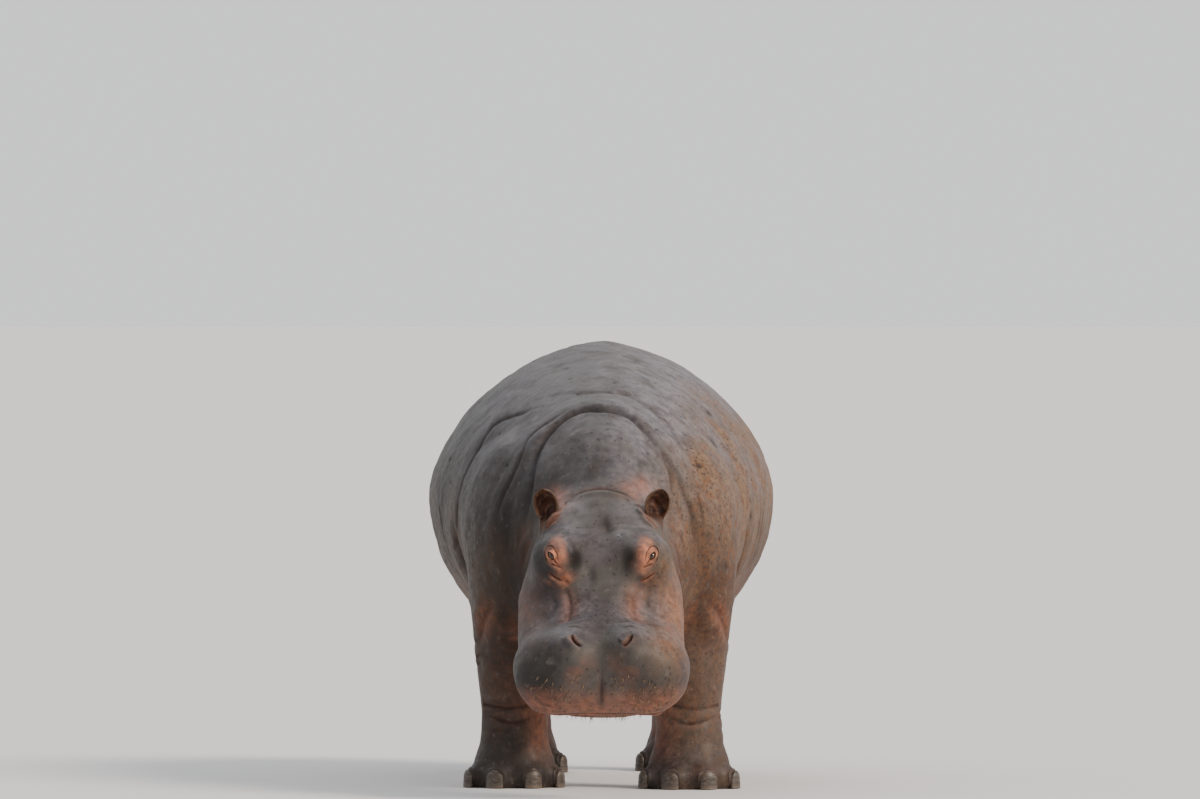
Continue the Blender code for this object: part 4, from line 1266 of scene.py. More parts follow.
# -------- the hide
@dataclass
class Lids:
    """The heavy lids round each eye, and the slit between them."""

    anatomy: Anatomy
    radius: float = 0.0224  # of the lids' dome, from the eye's middle
    slit: tuple = (0.0165, 0.0083)  # half length and half width of the opening
    aside: float = -0.0035  # of the slit from the eye's middle, away from the nose
    turn: float = math.radians(18)  # of the slit from upright
    reach: float = 0.095  # from the eye's middle to where the lids have died away
    socket: float = 0.0155  # radius of the hollow behind the slit
    rim: float = 0.0013  # how far the lids' edges stand up
    soft: float = 0.004  # of the step from the dome to the hide
    masks = ("flush", "crease", "margin", "calm")

    def axes(self, sign: int) -> tuple[Array, Array, Array, Array]:
        """The eye's middle and three axes: outward, down the opening and towards the nose."""
        middle = np.array(self.anatomy.eye_middle(sign))
        normal = unit(self.anatomy.slope(middle[None]))[0]
        outward = unit(normal * 0.6 + np.array([0, -0.4, 0]))
        down = np.array([-sign * math.sin(self.turn), 0.0, -math.cos(self.turn)])
        down = unit(down - outward * (down @ outward))
        nosewards = np.cross(outward, down)
        nosewards *= -sign * np.sign(nosewards[0])
        return middle, outward, down, nosewards

    def swelling(self, u: Array, v: Array) -> tuple[Array, Array, Array, Array]:
        """The puffy skin round the opening, in places down it (u) and towards the nose (v).

        Args:
            u: Distance of each point below the eye's middle.
            v: Its distance towards the nose.

        Returns:
            How far the skin swells, how near the lids' ring and the corner's line each point
            is (0 to 1), and its reach from the middle, 1 on the ring.
        """
        puff = 0.0125 * spot(u + 0.008, v - 0.031, 0.040, 0.0195)
        puff += 0.0045 * spot(u, v + 0.019, 0.030, 0.008)
        around = np.arctan2(v, u)  # 0 at the lower corner, a quarter turn towards the nose
        wobble = 1 + 0.05 * np.sin(2 * around + 0.8) + 0.03 * np.sin(5 * around)
        oval = np.hypot((u - 0.001) / 0.036, (v + 0.0015) / 0.0195) / wobble
        ring = bell(oval - 1.0, 0.075) * smoothstep(0.040, 0.005, u)
        corner = spot(u - 0.026, v - 0.0055 - 0.35 * (u - 0.026), 0.013, 0.0032)
        return puff - 0.0040 * ring - 0.0050 * corner, ring, corner, oval

    def opening(self, u: Array, v: Array) -> Array:
        """How far from the slit's middle line each point is, 1 at its edge."""
        length, width = self.slit
        taper = np.maximum(1 - (u / length) ** 2, 0.02) * (1 + 0.25 * u / length)
        open_at = np.abs(v - self.aside - 0.22 * u) / (width * taper)
        return np.where(np.abs(u) < length, open_at, 9.0)

    def shape(self, points: Array) -> tuple[Array, dict[str, Array]]:
        """Draws the lids round each eye and opens the slit between them.

        Args:
            points: The hide's points.

        Returns:
            The moved points, and masks of what is flushed, of the painted shade in the lids' creases, of the
            pale margin with its painted highlight, and of calm.
        """
        points = points.copy()
        masks = {name: np.zeros(len(points)) for name in self.masks}
        for sign in SIDES.values():
            middle, outward, down, nosewards = self.axes(sign)
            near = np.flatnonzero(within(points, [middle], self.reach))
            offset = points[near] - middle
            u, v, w = offset @ down, offset @ nosewards, offset @ outward
            radius = np.hypot(u, v)
            puff, ring, corner, oval = self.swelling(u, v)
            raised = w + puff * smoothstep(0.093, 0.062, radius)
            dome = np.sqrt(np.maximum(self.radius**2 - radius**2, 0.0))
            share = np.clip(0.5 + 0.5 * (raised - dome) / self.soft, 0, 1)
            lid = raised * share + dome * (1 - share) + self.soft * share * (1 - share)
            lid = np.where(radius < self.radius * 1.3, lid, raised)
            open_at = self.opening(u, v)
            lid += self.rim * bell(open_at - 1.40, 0.32)
            behind = np.sqrt(np.maximum(self.socket**2 - radius**2, 0.0)) - 0.002
            opened = smoothstep(1.10, 0.90, open_at)
            height = lid * (1 - opened) + behind * opened
            points[near] += (height - w)[:, None] * outward
            ragged = 0.007 * lumps(points[near], 0.030, 14)
            pink = 0.95 * spot(u + 0.012 + ragged, v - 0.028 + ragged, 0.050, 0.024, 4)
            pink += 0.60 * spot(u - 0.050, v - 0.012, 0.022, 0.020) + 0.60 * np.exp(-((oval / 1.05) ** 6))
            pink *= 1 - 0.50 * smoothstep(0.05, 0.75, lumps(points[near], 0.021, 15))
            # painted shade in the lids' ring, the corner's line and the edge of the slit
            painted_crease_shade = np.maximum.reduce([0.6 * ring, 0.7 * corner, 0.9 * bell(open_at - 0.95, 0.20)])
            # pale margin of the lids: their own colour and a painted highlight, most on the lower lid
            pale_margin_glint = bell(open_at - 1.32, 0.30) * (0.45 + 0.55 * smoothstep(-0.008, 0.012, u))
            dusky_side = 1.0 if sign > 0 else 0.80
            values = (pink * dusky_side, painted_crease_shade, pale_margin_glint, smoothstep(0.085, 0.050, radius))
            for name, value in zip(self.masks, values):
                masks[name][near] = np.maximum(masks[name][near], np.clip(value, 0, 1))
        return points, masks


@dataclass
class Complexion:
    """Works out where the hide is pink, dried pale, muddy or dusky, and where light and shade are painted on
    it.

    Attributes:
        anatomy: The animal.
        points: The hide's points.
        normals: Their normals.
        pores: Roots of the muzzle's bristles.
    """

    anatomy: Anatomy
    points: Array
    normals: Array
    pores: Array
    pore_size: float = 0.0032
    batch: int = 20000

    def __post_init__(self) -> None:
        """Surveys the points: regions, two sizes of patches, and the hollows by the sockets and the nook by
        the neck, where shade is painted.
        """
        self.x, self.y, self.z = self.points.T
        self.along, self.across, self.upward = self.anatomy.in_head(self.points).T
        self.on_head = smoothstep(-0.50, -0.62, self.y)
        self.body = 1 - self.on_head
        self.left = smoothstep(-0.10, 0.16, self.x)
        self.patch = 0.5 + 0.5 * lumps(self.points, 0.11, 21)
        self.fine = 0.5 + 0.5 * lumps(self.points, 0.035, 22)
        # painted shade in the hollows between the sockets and the bridge of the nose
        socket_side = spot(np.abs(self.x) - 0.085, self.z - 0.763, 0.027, 0.044)
        self.hollow = socket_side * self.on_head * (0.75 + 0.35 * self.fine)
        # painted shade in the nook between the neck and the right shoulder
        self.nook_shade = spot(self.x + 0.285, self.z - 0.70, 0.060, 0.24) * smoothstep(0.30, 0.0, self.y)

    def flush(self) -> Array:
        """Pink: belly, armpits, inner legs, throat, lips, behind the ears and under the tail."""
        x, y, z = self.x, self.y, self.z
        across, _, up = self.normals.T
        under = smoothstep(-0.35, -0.9, up) * smoothstep(0.17, 0.24, z)
        pits = bell(np.hypot(np.abs(x) - 0.20, y - 0.05), 0.14)
        pits += bell(np.hypot(np.abs(x) - 0.20, y - 1.30), 0.17)
        pits *= smoothstep(0.62, 0.50, z) * smoothstep(0.16, 0.28, z)
        inner = smoothstep(0.0, -0.7, across * np.sign(x)) * smoothstep(0.52, 0.40, z)
        inner *= smoothstep(0.05, 0.16, z)
        throat = smoothstep(-0.2, -0.8, up) * self.on_head
        lips = bell(self.upward + 0.262, 0.035) * smoothstep(0.30, 0.42, self.along) * self.on_head
        ears = 0.62 * spot(x - 0.120, z - 0.985, 0.050, 0.034)
        ears += 0.45 * spot(x + 0.145, z - 0.955, 0.040, 0.034)
        ears *= smoothstep(-0.30, -0.48, y) * (0.55 + 0.6 * self.fine)
        cheek = spot(np.abs(self.across) - 0.25, z - 0.60, 0.06, 0.10) * self.on_head * (0.5 + 0.5 * (x > 0))
        parts = [0.55 * under + 0.45 * pits + 0.30 * inner, 0.55 * throat, 0.50 * lips, ears, 0.35 * cheek]
        tail = smoothstep(1.60, 1.72, y) * bell(np.abs(x), 0.07) * smoothstep(1.02, 0.80, z) * (y < 1.86)
        return np.maximum.reduce([*parts, 0.6 * tail]) * (0.72 + 0.45 * self.fine)

    def dry_and_sky_sheen(self) -> Array:
        """Dried pale skin and painted sky sheen: the back, the nape and the crown where they face up, the top
        of the left flank where the key light falls, and painted highlights as streaks on the brow.
        """
        x, z, up = self.x, self.z, self.normals[:, 2]
        # painted sky sheen on upward faces, over skin that is also dried pale
        dry_and_sky_sheen = smoothstep(0.15, 0.80, up) * (0.70 + 0.40 * self.patch)
        # paler still on the top of the left flank, the side that the key light falls on
        dry_and_sky_sheen = np.maximum(dry_and_sky_sheen, self.left * smoothstep(0.70, 1.10, z + 0.15 * (self.patch - 0.5))) * self.body
        crown = 0.60 * smoothstep(0.30, 0.9, up) * (1.2 - bell(self.across, 0.06)) * self.on_head
        nape = bell(np.hypot(x, (z - 1.05) / 1.1), 0.15) * smoothstep(-0.15, -0.35, self.y)
        dry_and_sky_sheen = np.maximum(dry_and_sky_sheen, crown) * (1 - 0.35 * nape)
        # none where shade is painted in the hollows and the nook
        dry_and_sky_sheen *= 1 - np.clip(self.hollow + self.nook_shade, 0, 1)
        # painted highlights: pale streaks on the ridges of the brow
        streaks = spot(x - 0.056, z - 0.838, 0.010, 0.016)
        streaks += spot(x + 0.097 + 0.3 * (z - 0.79), z - 0.793, 0.0055, 0.013)
        streaks += 0.60 * spot(x + 0.020, z - 0.812, 0.060, 0.050) * (0.5 + 0.8 * self.fine)
        return np.maximum(dry_and_sky_sheen, 0.95 * streaks * self.on_head)

    def mud(self) -> tuple[Array, Array]:
        """Dried mud, tan and rust: on the left flank, neck and cheek, only low down on the right."""
        z, patch = self.z, self.patch
        reach = 1.04 + 0.30 * self.left + 0.24 * (patch - 0.5)
        flank = smoothstep(0.12, 0.32, np.abs(self.x)) * self.body
        tan = smoothstep(reach, reach - 0.34, z) * flank * (0.22 + 0.78 * self.left) * (0.60 + 0.55 * patch)
        low = 0.30 * smoothstep(0.7, 0.3, z) * self.body
        cheek = bell(self.across - 0.235, 0.085) * smoothstep(0.88, 0.72, z) * self.on_head
        tan = np.maximum.reduce([tan, low, 0.85 * cheek * (0.6 + 0.5 * patch)])
        rust = smoothstep(0.92, 0.62, z + 0.14 * (patch - 0.5)) * flank * (0.25 + 0.75 * self.left)
        rust *= 0.35 + 0.65 * smoothstep(0.40, 0.60, z)
        tan *= 0.45 + 0.55 * smoothstep(0.38, 0.62, z)
        tan *= 1 - 0.45 * smoothstep(1.20, 1.60, self.y) * self.body
        tan *= 0.4 + 0.6 * smoothstep(0.06, 0.26, z)
        return tan, rust

    def dusk_and_painted_shade(self) -> Array:
        """Dusky tone of the brow and the bridge of the nose with dark smudges, darker towards the floor, and
        painted shade in the hollows by the sockets, in the nook by the neck and over the right side, away
        from the key light.
        """
        x, z = self.x, self.z
        right = 1 - self.left
        bridge = bell(self.across - 0.01, 0.10) * smoothstep(-0.14, 0.0, self.along)
        bridge *= smoothstep(-0.16, -0.06, self.upward) * self.on_head
        smudges = spot(x - 0.022, z - 0.855, 0.027, 0.036) * (0.4 + 0.8 * self.fine)
        smudges += 0.8 * spot(x + 0.026, z - 0.705, 0.022, 0.055)
        return np.maximum.reduce(
            [
                0.45 * bridge,
                # the right of the head: darker wet skin and painted shade, away from the key light
                0.85 * right * smoothstep(0.10, 0.19, np.abs(self.across)) * self.on_head,
                # darker towards the floor
                0.75 * smoothstep(0.28, 0.08, z),
                # painted shade on the right of the body, away from the key light, deeper low down
                (0.60 + 0.40 * smoothstep(1.15, 0.80, z)) * right * self.body,
                0.90 * smudges * self.on_head,
                # painted shade in the nook by the neck and in the hollows by the sockets
                1.15 * self.nook_shade * self.body,
                1.10 * self.hollow,
            ]
        )

    def pored(self) -> Array:
        """Dark round the root of each bristle of the muzzle."""
        pored = np.zeros(len(self.points))
        close = np.flatnonzero((self.along > 0.2) & (self.y < -0.8))
        for start in range(0, len(close), self.batch):
            rows = close[start : start + self.batch]
            gap = np.linalg.norm(self.points[rows][:, None] - self.pores[None], axis=2).min(1)
            pored[rows] = bell(gap, self.pore_size)
        return pored

    def masks(self) -> dict[str, Array]:
        """All the masks, each from 0 to 1."""
        tan, rust = self.mud()
        # painted shade of the hollows and the nook joins the crease mask
        painted_recess_shade = 0.80 * self.hollow + 0.75 * self.nook_shade * self.body
        values = {"flush": self.flush(), "dry_and_sky_sheen": self.dry_and_sky_sheen(), "tan": tan, "rust": rust, "crease": painted_recess_shade}
        values |= {"shade": self.dusk_and_painted_shade(), "pore": self.pored()}
        return {name: np.clip(value, 0, 1) for name, value in values.items()}


@dataclass
class Hide:
    """The one closed skin, with its folds, lids, lips and ears, and the masks of its colours."""

    anatomy: Anatomy
    bristle_roots: Array
    voxel: float = 0.012
    small_scars: int = 90
    finer_ahead: float = -0.56  # the mesh is finer ahead of this
    scar_depth: float = 0.0035
    # across, height and size of the largest pits
    known_scars: tuple = (
        (-0.116, 1.363, 0.010),
        (0.353, 1.217, 0.018),
        (0.370, 1.122, 0.019),
        (0.314, 1.053, 0.014),
        (0.492, 0.878, 0.017),
        (0.406, 0.726, 0.014),
        (0.425, 1.16, 0.007),
        (0.33, 1.14, 0.007),
        (-0.505, 1.12, 0.008),
        (-0.498, 1.06, 0.007),
        (-0.50, 0.99, 0.009),
        (-0.36, 1.30, 0.008),
    )
    roots_map: dict = field(default_factory=dict)
    map_top = 0.93  # the map's upper edge below the ears' strip
    masks = ("crease", "flush", "dry_and_sky_sheen", "tan", "rust", "shade", "earlobe", "gilt", "pore", "scar", "margin")

    def build(self, finish: "HideFinish") -> Thing:
        """Makes the hide in the animal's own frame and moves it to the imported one.

        Args:
            finish: The look of the hide.

        Returns:
            The finished object.
        """
        obj = self.whole()
        self.unwrap(obj)
        self.refine(obj)
        self.even_out(obj.data)
        values = self.sculpt(obj)
        points = coordinates(obj.data)
        edge = np.abs(points[:, 1] - self.finer_ahead) < 0.016
        place_points(obj.data, self.relax(obj.data, points, edge, 8))
        for name in self.masks:
            keep_mask(obj.data, name, values.get(name, np.zeros(len(points))))
        self.add_ears(obj)
        self.anatomy.dress(obj.data, finish.material())
        obj.name = obj.data.name = "hide"
        return obj

    def whole(self) -> Thing:
        """One closed coarse mesh on the anatomy's surface."""
        bm = bmesh.new()
        for form in self.anatomy.forms:
            form.add_to(bm)
        bmesh.ops.recalc_face_normals(bm, faces=bm.faces)
        obj = new_object("hide", drawn(bm, "hide"))
        with_modifier(obj, "REMESH", mode="VOXEL", voxel_size=self.voxel)
        place_points(obj.data, self.anatomy.settle(coordinates(obj.data), 3))
        return obj

    def unwrap(self, obj: Thing) -> None:
        """Lays the skin flat without overlap, below the strip kept for the ears."""
        obj.data.uv_layers.new(name="OFBake")
        bpy.context.view_layer.objects.active = obj
        obj.select_set(True)
        bpy.ops.object.mode_set(mode="EDIT")
        bpy.ops.mesh.select_all(action="SELECT")
        bpy.ops.uv.smart_project(angle_limit=math.radians(66), island_margin=0.003)
        bpy.ops.object.mode_set(mode="OBJECT")
        layer = obj.data.uv_layers["OFBake"].data
        flat = np.empty(len(layer) * 2)
        layer.foreach_get("uv", flat)
        flat = flat.reshape(-1, 2)
        flat[:, 1] *= self.map_top - 0.01
        layer.foreach_set("uv", flat.ravel())
        corner = np.empty(len(layer), np.int64)
        obj.data.loops.foreach_get("vertex_index", corner)
        spots = np.zeros((len(obj.data.vertices), 2))
        spots[corner] = flat
        self.roots_map = {"points": coordinates(obj.data), "spots": spots}

    def refine(self, obj: Thing) -> None:
        """Splits the faces where the form needs more points, and then all of them once."""
        eyes = [np.array(self.anatomy.eye_middle(sign)) for sign in SIDES.values()]
        nostrils = moved(np.array([(0.43, sign * 0.09, -0.01) for sign in SIDES.values()]), self.anatomy.head)
        steps: list[Callable[[Array], Array]] = [
            lambda p: (p[:, 1] < self.finer_ahead) | (p[:, 2] < 0.17) | (p[:, 1] > 1.9),
            lambda p: within(p, eyes, 0.075) | within(p, nostrils, 0.06),
            lambda p: within(p, eyes, 0.036),
        ]
        for inside in steps:
            chosen = inside(coordinates(obj.data))
            bm = bmesh.new()
            bm.from_mesh(obj.data)
            edges = [e for e in bm.edges if chosen[e.verts[0].index] and chosen[e.verts[1].index]]
            bmesh.ops.subdivide_edges(bm, edges=edges, cuts=1, use_grid_fill=True)
            bm.to_mesh(obj.data)
            bm.free()
        with_modifier(obj, "SUBSURF", subdivision_type="SIMPLE", levels=1, render_levels=1)

    def even_out(self, mesh: Mesh) -> None:
        """Settles the mesh and smooths the lines where forms or finer faces begin."""
        points = self.anatomy.settle(coordinates(mesh), 2)
        rump = np.abs(np.hypot(points[:, 0], points[:, 2] - 0.915) - 0.16) < 0.07
        rump &= (points[:, 1] > 1.78) & (points[:, 1] < 1.90)
        points = self.relax(mesh, points, rump, 60)
        in_head = self.anatomy.in_head(points)
        temples = (np.abs(in_head[:, 2] + 0.105) < 0.03) & (np.abs(in_head[:, 0] + 0.16) < 0.20)
        points = self.relax(mesh, points, temples, 25)
        edge = np.abs(points[:, 1] - self.finer_ahead) < 0.025
        place_points(mesh, self.relax(mesh, points, edge, 10))

    def sculpt(self, obj: Thing) -> dict[str, Array]:
        """Moves the points into folds, lids and lips.

        Args:
            obj: The smooth hide.

        Returns:
            A mask of 0 to 1 for each name in masks.
        """
        mesh = obj.data
        points = coordinates(mesh)
        in_head = self.anatomy.in_head(points)
        calm = 1 - 0.75 * smoothstep(-0.30, 0.0, in_head[:, 0]) * (in_head[:, 2] > -0.5)
        feet = smoothstep(0.10, 0.30, points[:, 2])
        stretched = points * np.array([1.0, 1.0, 0.6])
        lift = 0.0035 * lumps(points, 0.16, 3) * calm * feet
        lift += 0.0021 * lumps(stretched, 0.060, 5) * calm * feet
        lift += 0.0011 * lumps(points, 0.028, 8) * calm
        points = points + lift[:, None] * self.normals(mesh)
        place_points(mesh, points)
        folds = Folds(self.anatomy)
        laid = folds.lay(neck_folds() + body_folds() + head_folds())
        raised, crease, flush = folds.carve(points, laid)
        points = points + raised[:, None] * self.normals(mesh)
        place_points(mesh, points)
        scar = self.scars(points)
        points = points - self.scar_depth * scar[:, None] * self.normals(mesh)
        points, lids = Lids(self.anatomy).shape(points)
        points = self.cuticles(points)
        points[:, 2] = np.maximum(points[:, 2], 0.0)
        place_points(mesh, points)
        masks = Complexion(self.anatomy, points, self.normals(mesh), self.bristle_roots).masks()
        away_from_lids = masks["flush"] * (1 - lids["calm"])
        masks["flush"] = np.clip(np.maximum.reduce([away_from_lids, flush, lids["flush"]]), 0, 1)
        # the crease mask carries the painted shade of the folds, the lids and the hollows
        masks["crease"] = np.maximum.reduce([crease, lids["crease"], masks["crease"]])
        return masks | {"scar": scar, "margin": lids["margin"]}

    def scars(self, points: Array) -> Array:
        """Healed bites and pits: a few known ones on the back and many small ones all over.

        Args:
            points: The hide's points.

        Returns:
            How deep in a pit each point is, 0 to 1.
        """
        draw = np.random.default_rng(31)
        known = np.array(self.known_scars)
        starts = np.stack([known[:, 0], np.full(len(known), -2.0), known[:, 1]], 1)
        places = self.anatomy.cast(starts, np.tile([0.0, 1.0, 0.0], (len(known), 1)))
        body = np.flatnonzero((points[:, 1] > -0.3) & (points[:, 2] > 0.55))
        places = np.concatenate([places, points[draw.choice(body, self.small_scars)]])
        sizes = np.concatenate([known[:, 2], draw.uniform(0.003, 0.0075, self.small_scars)])
        scar = np.zeros(len(points))
        for place, size in zip(places, sizes):
            near = np.flatnonzero(np.all(np.abs(points - place) < 3 * size + 0.004, axis=1))
            offset = points[near] - place
            ragged = 1 + 0.35 * lumps(points[near], 1.4 * size, 9)
            scar[near] = np.maximum(scar[near], bell(np.linalg.norm(offset, axis=1) * ragged, size))
        return scar

    @staticmethod
    def relax(mesh: Mesh, points: Array, chosen: Array, rounds: int) -> Array:
        """Evens out chosen points, such as those along the edge of a finer zone.

        Args:
            mesh: The hide.
            points: Its points.
            chosen: Which of them may move.
            rounds: How many times each goes halfway to the middle of its neighbours.

        Returns:
            The points.
        """
        ends = np.empty(len(mesh.edges) * 2, np.int64)
        mesh.edges.foreach_get("vertices", ends)
        ends = ends.reshape(-1, 2)
        ends = np.concatenate([ends, ends[:, ::-1]])
        ends = ends[chosen[ends[:, 0]]]
        count = np.bincount(ends[:, 0], minlength=len(points))
        rows = np.flatnonzero(count)
        points = points.copy()
        for _ in range(rounds):
            sums = [np.bincount(ends[:, 0], points[ends[:, 1], axis], len(points)) for axis in range(3)]
            points[rows] += 0.5 * (np.stack(sums, 1)[rows] / count[rows, None] - points[rows])
        return points

    @staticmethod
    def normals(mesh: Mesh) -> Array:
        """The mesh's normal at each point."""
        flat = np.empty(len(mesh.vertices) * 3, np.float32)
        mesh.vertex_normals.foreach_get("vector", flat)
        return flat.reshape(-1, 3).astype(float)

    def cuticles(self, points: Array) -> Array:
        """Raises a roll of skin round each toenail."""
        points = points.copy()
        for limb in self.anatomy.limbs.values():
            for angle in self.anatomy.toe_angles:
                nail = Nails.frame(self.anatomy, limb, angle)
                near = np.flatnonzero(within(points, [np.array(nail.translation)], 0.06))
                local = moved(points[near], nail.inverted())
                reach = Nails.reach(local)
                front = smoothstep(-0.010, 0.004, local[:, 0])
                roll = (0.0042 * bell(reach - 1.13, 0.13) - 0.0035 * smoothstep(0.95, 0.80, reach)) * front
                away = turned(unit(local * np.array([1.0, 0.8, 0.8])), nail)
                points[near] += roll[:, None] * away
        return points

    def add_ears(self, obj: Thing) -> None:
        """Sews both ears to the hide."""
        bm = bmesh.new()
        bm.from_mesh(obj.data)
        for sign, strip in ((1, (0.01, 0.49)), (-1, (0.51, 0.99))):
            Ear(self.anatomy, sign).join(bm, strip)
        bm.to_mesh(obj.data)
        bm.free()


# -------- eyes, nails and bristles
@dataclass
class Eyes:
    """Two glossy eyeballs that show between the lids."""

    anatomy: Anatomy
    bulge: float = 0.0010  # of the cornea
    rings: int = 40
    around: int = 56
    pupil: tuple = (0.0062, 0.0030)  # its half sizes down and across

    def build(self, side: str, finish: "EyeFinish") -> Thing:
        """Makes one eye.

        Args:
            side: "left" or "right".
            finish: The look of the eye.

        Returns:
            The finished object.
        """
        middle, outward, down, nosewards = Lids(self.anatomy).axes(SIDES[side])
        radius = self.anatomy.eye_radius - self.bulge
        bm = bmesh.new()
        bmesh.ops.create_uvsphere(bm, u_segments=self.around, v_segments=self.rings, radius=1.0)
        mesh = drawn(bm, f"eye_{side}_ball")
        ball = coordinates(mesh)
        gaze = np.arccos(np.clip(ball[:, 2], -1, 1))
        size = radius + self.bulge * bell(gaze, 0.55)
        points = middle + size[:, None] * (ball @ np.array([down, nosewards, outward]))
        place_points(mesh, points + np.array(self.anatomy.shift))
        slot = np.hypot(*(ball[:, :2] * radius / self.pupil).T)
        keep_mask(mesh, "gaze", gaze)
        keep_mask(mesh, "pupil", slot + 9.0 * (ball[:, 2] < 0))  # none at the back
        mesh.materials.append(finish.material())
        mesh.shade_smooth()
        return new_object(f"eye_{side}_ball", mesh)


@dataclass
class Nails:
    """Sixteen rounded hoof-like nails, one at the front of each toe."""

    anatomy: Anatomy
    segments: int = 30
    power: float = 0.72  # below 1 squares the shape off
    ridge: float = 0.0004
    ridge_spacing: float = 0.0052
    sole_clear: float = 0.0015
    taper: float = 0.24  # how much narrower the top is
    low_height: float = 0.033  # from the nail's middle to the floor
    toe: tuple = (0.056, 0.050, 0.048)  # the rounding that its front follows
    toe_to_nail: float = 0.038
    proud: float = 0.0030  # of the toe's front
    thickness: float = 0.020
    flare: float = 0.06  # how much wider it is at the floor
    hoof: float = 0.002  # how far its lower edge stands ahead of its middle
    radii = (0.0215, 0.0290, 0.0255)

    @staticmethod
    def frame(anatomy: Anatomy, limb: Limb, angle: float) -> Matrix:
        """A frame at a nail's middle: outward, sideways, up."""
        return anatomy.toe_frame(limb, angle) @ Matrix.Translation((Nails.toe_to_nail, 0, 0.002))

    @staticmethod
    def reach(local: Array) -> Array:
        """How far from the middle points in a nail's frame are, 1 at the nail's outline."""
        shares = np.abs(local[:, 1:] / np.array(Nails.radii[1:])) ** 2.6
        shares[:, 1] *= np.where(local[:, 2] < 0, 0.35, 1.0)  # the lower edge lies further away
        return shares.sum(1) ** (1 / 2.6)

    def build(self, finish: "NailFinish") -> Thing:
        """Makes all the nails as one piece.

        Args:
            finish: The look of the horn.

        Returns:
            The finished object.
        """
        bm = bmesh.new()
        for limb in self.anatomy.limbs.values():
            for angle in self.anatomy.toe_angles:
                self.draw(bm, self.frame(self.anatomy, limb, angle))
        mesh = drawn(bm, "toenails")
        self.anatomy.dress(mesh, finish.material())
        return new_object("toenails", mesh)

    def draw(self, bm: bmesh.types.BMesh, frame: Matrix) -> None:
        """Adds one nail, squared off, a little narrower at its top and flat at the floor."""
        made = bmesh.ops.create_uvsphere(bm, u_segments=self.segments, v_segments=self.segments, radius=1.0)
        _, width, height = self.radii
        for vert in made["verts"]:
            out, y, z = vert.co
            if z < 0:  # straight sides down to the floor
                wider = (1 - z**8) ** 0.125 / max(math.sqrt(1 - z * z), 1e-4)
                out, y = out * min(wider, 5.0), y * min(wider, 5.0)
            y, z = (math.copysign(abs(c) ** self.power, c) for c in (y, z))
            across = y * width * (1.0 - self.taper * max(0.0, z) ** 1.5 + self.flare * max(0.0, -z))
            up = z * (height if z > 0 else self.low_height) * (1.0 - 0.18 * y * y * (z > 0))
            rounding = 1 - (across / self.toe[1]) ** 2 - (max(up, 0.0) / self.toe[2]) ** 2
            front = self.toe[0] * math.sqrt(max(0.0, rounding)) - self.toe_to_nail + self.hoof * max(0.0, -z)
            front += self.ridge * math.sin(up * math.tau / self.ridge_spacing)
            skin = self.proud * math.sqrt(out) if out > 0 else self.thickness * out
            local = Vector((front + skin, across, up))
            point = frame @ local
            point.z = max(point.z, self.sole_clear)
            vert.co = point


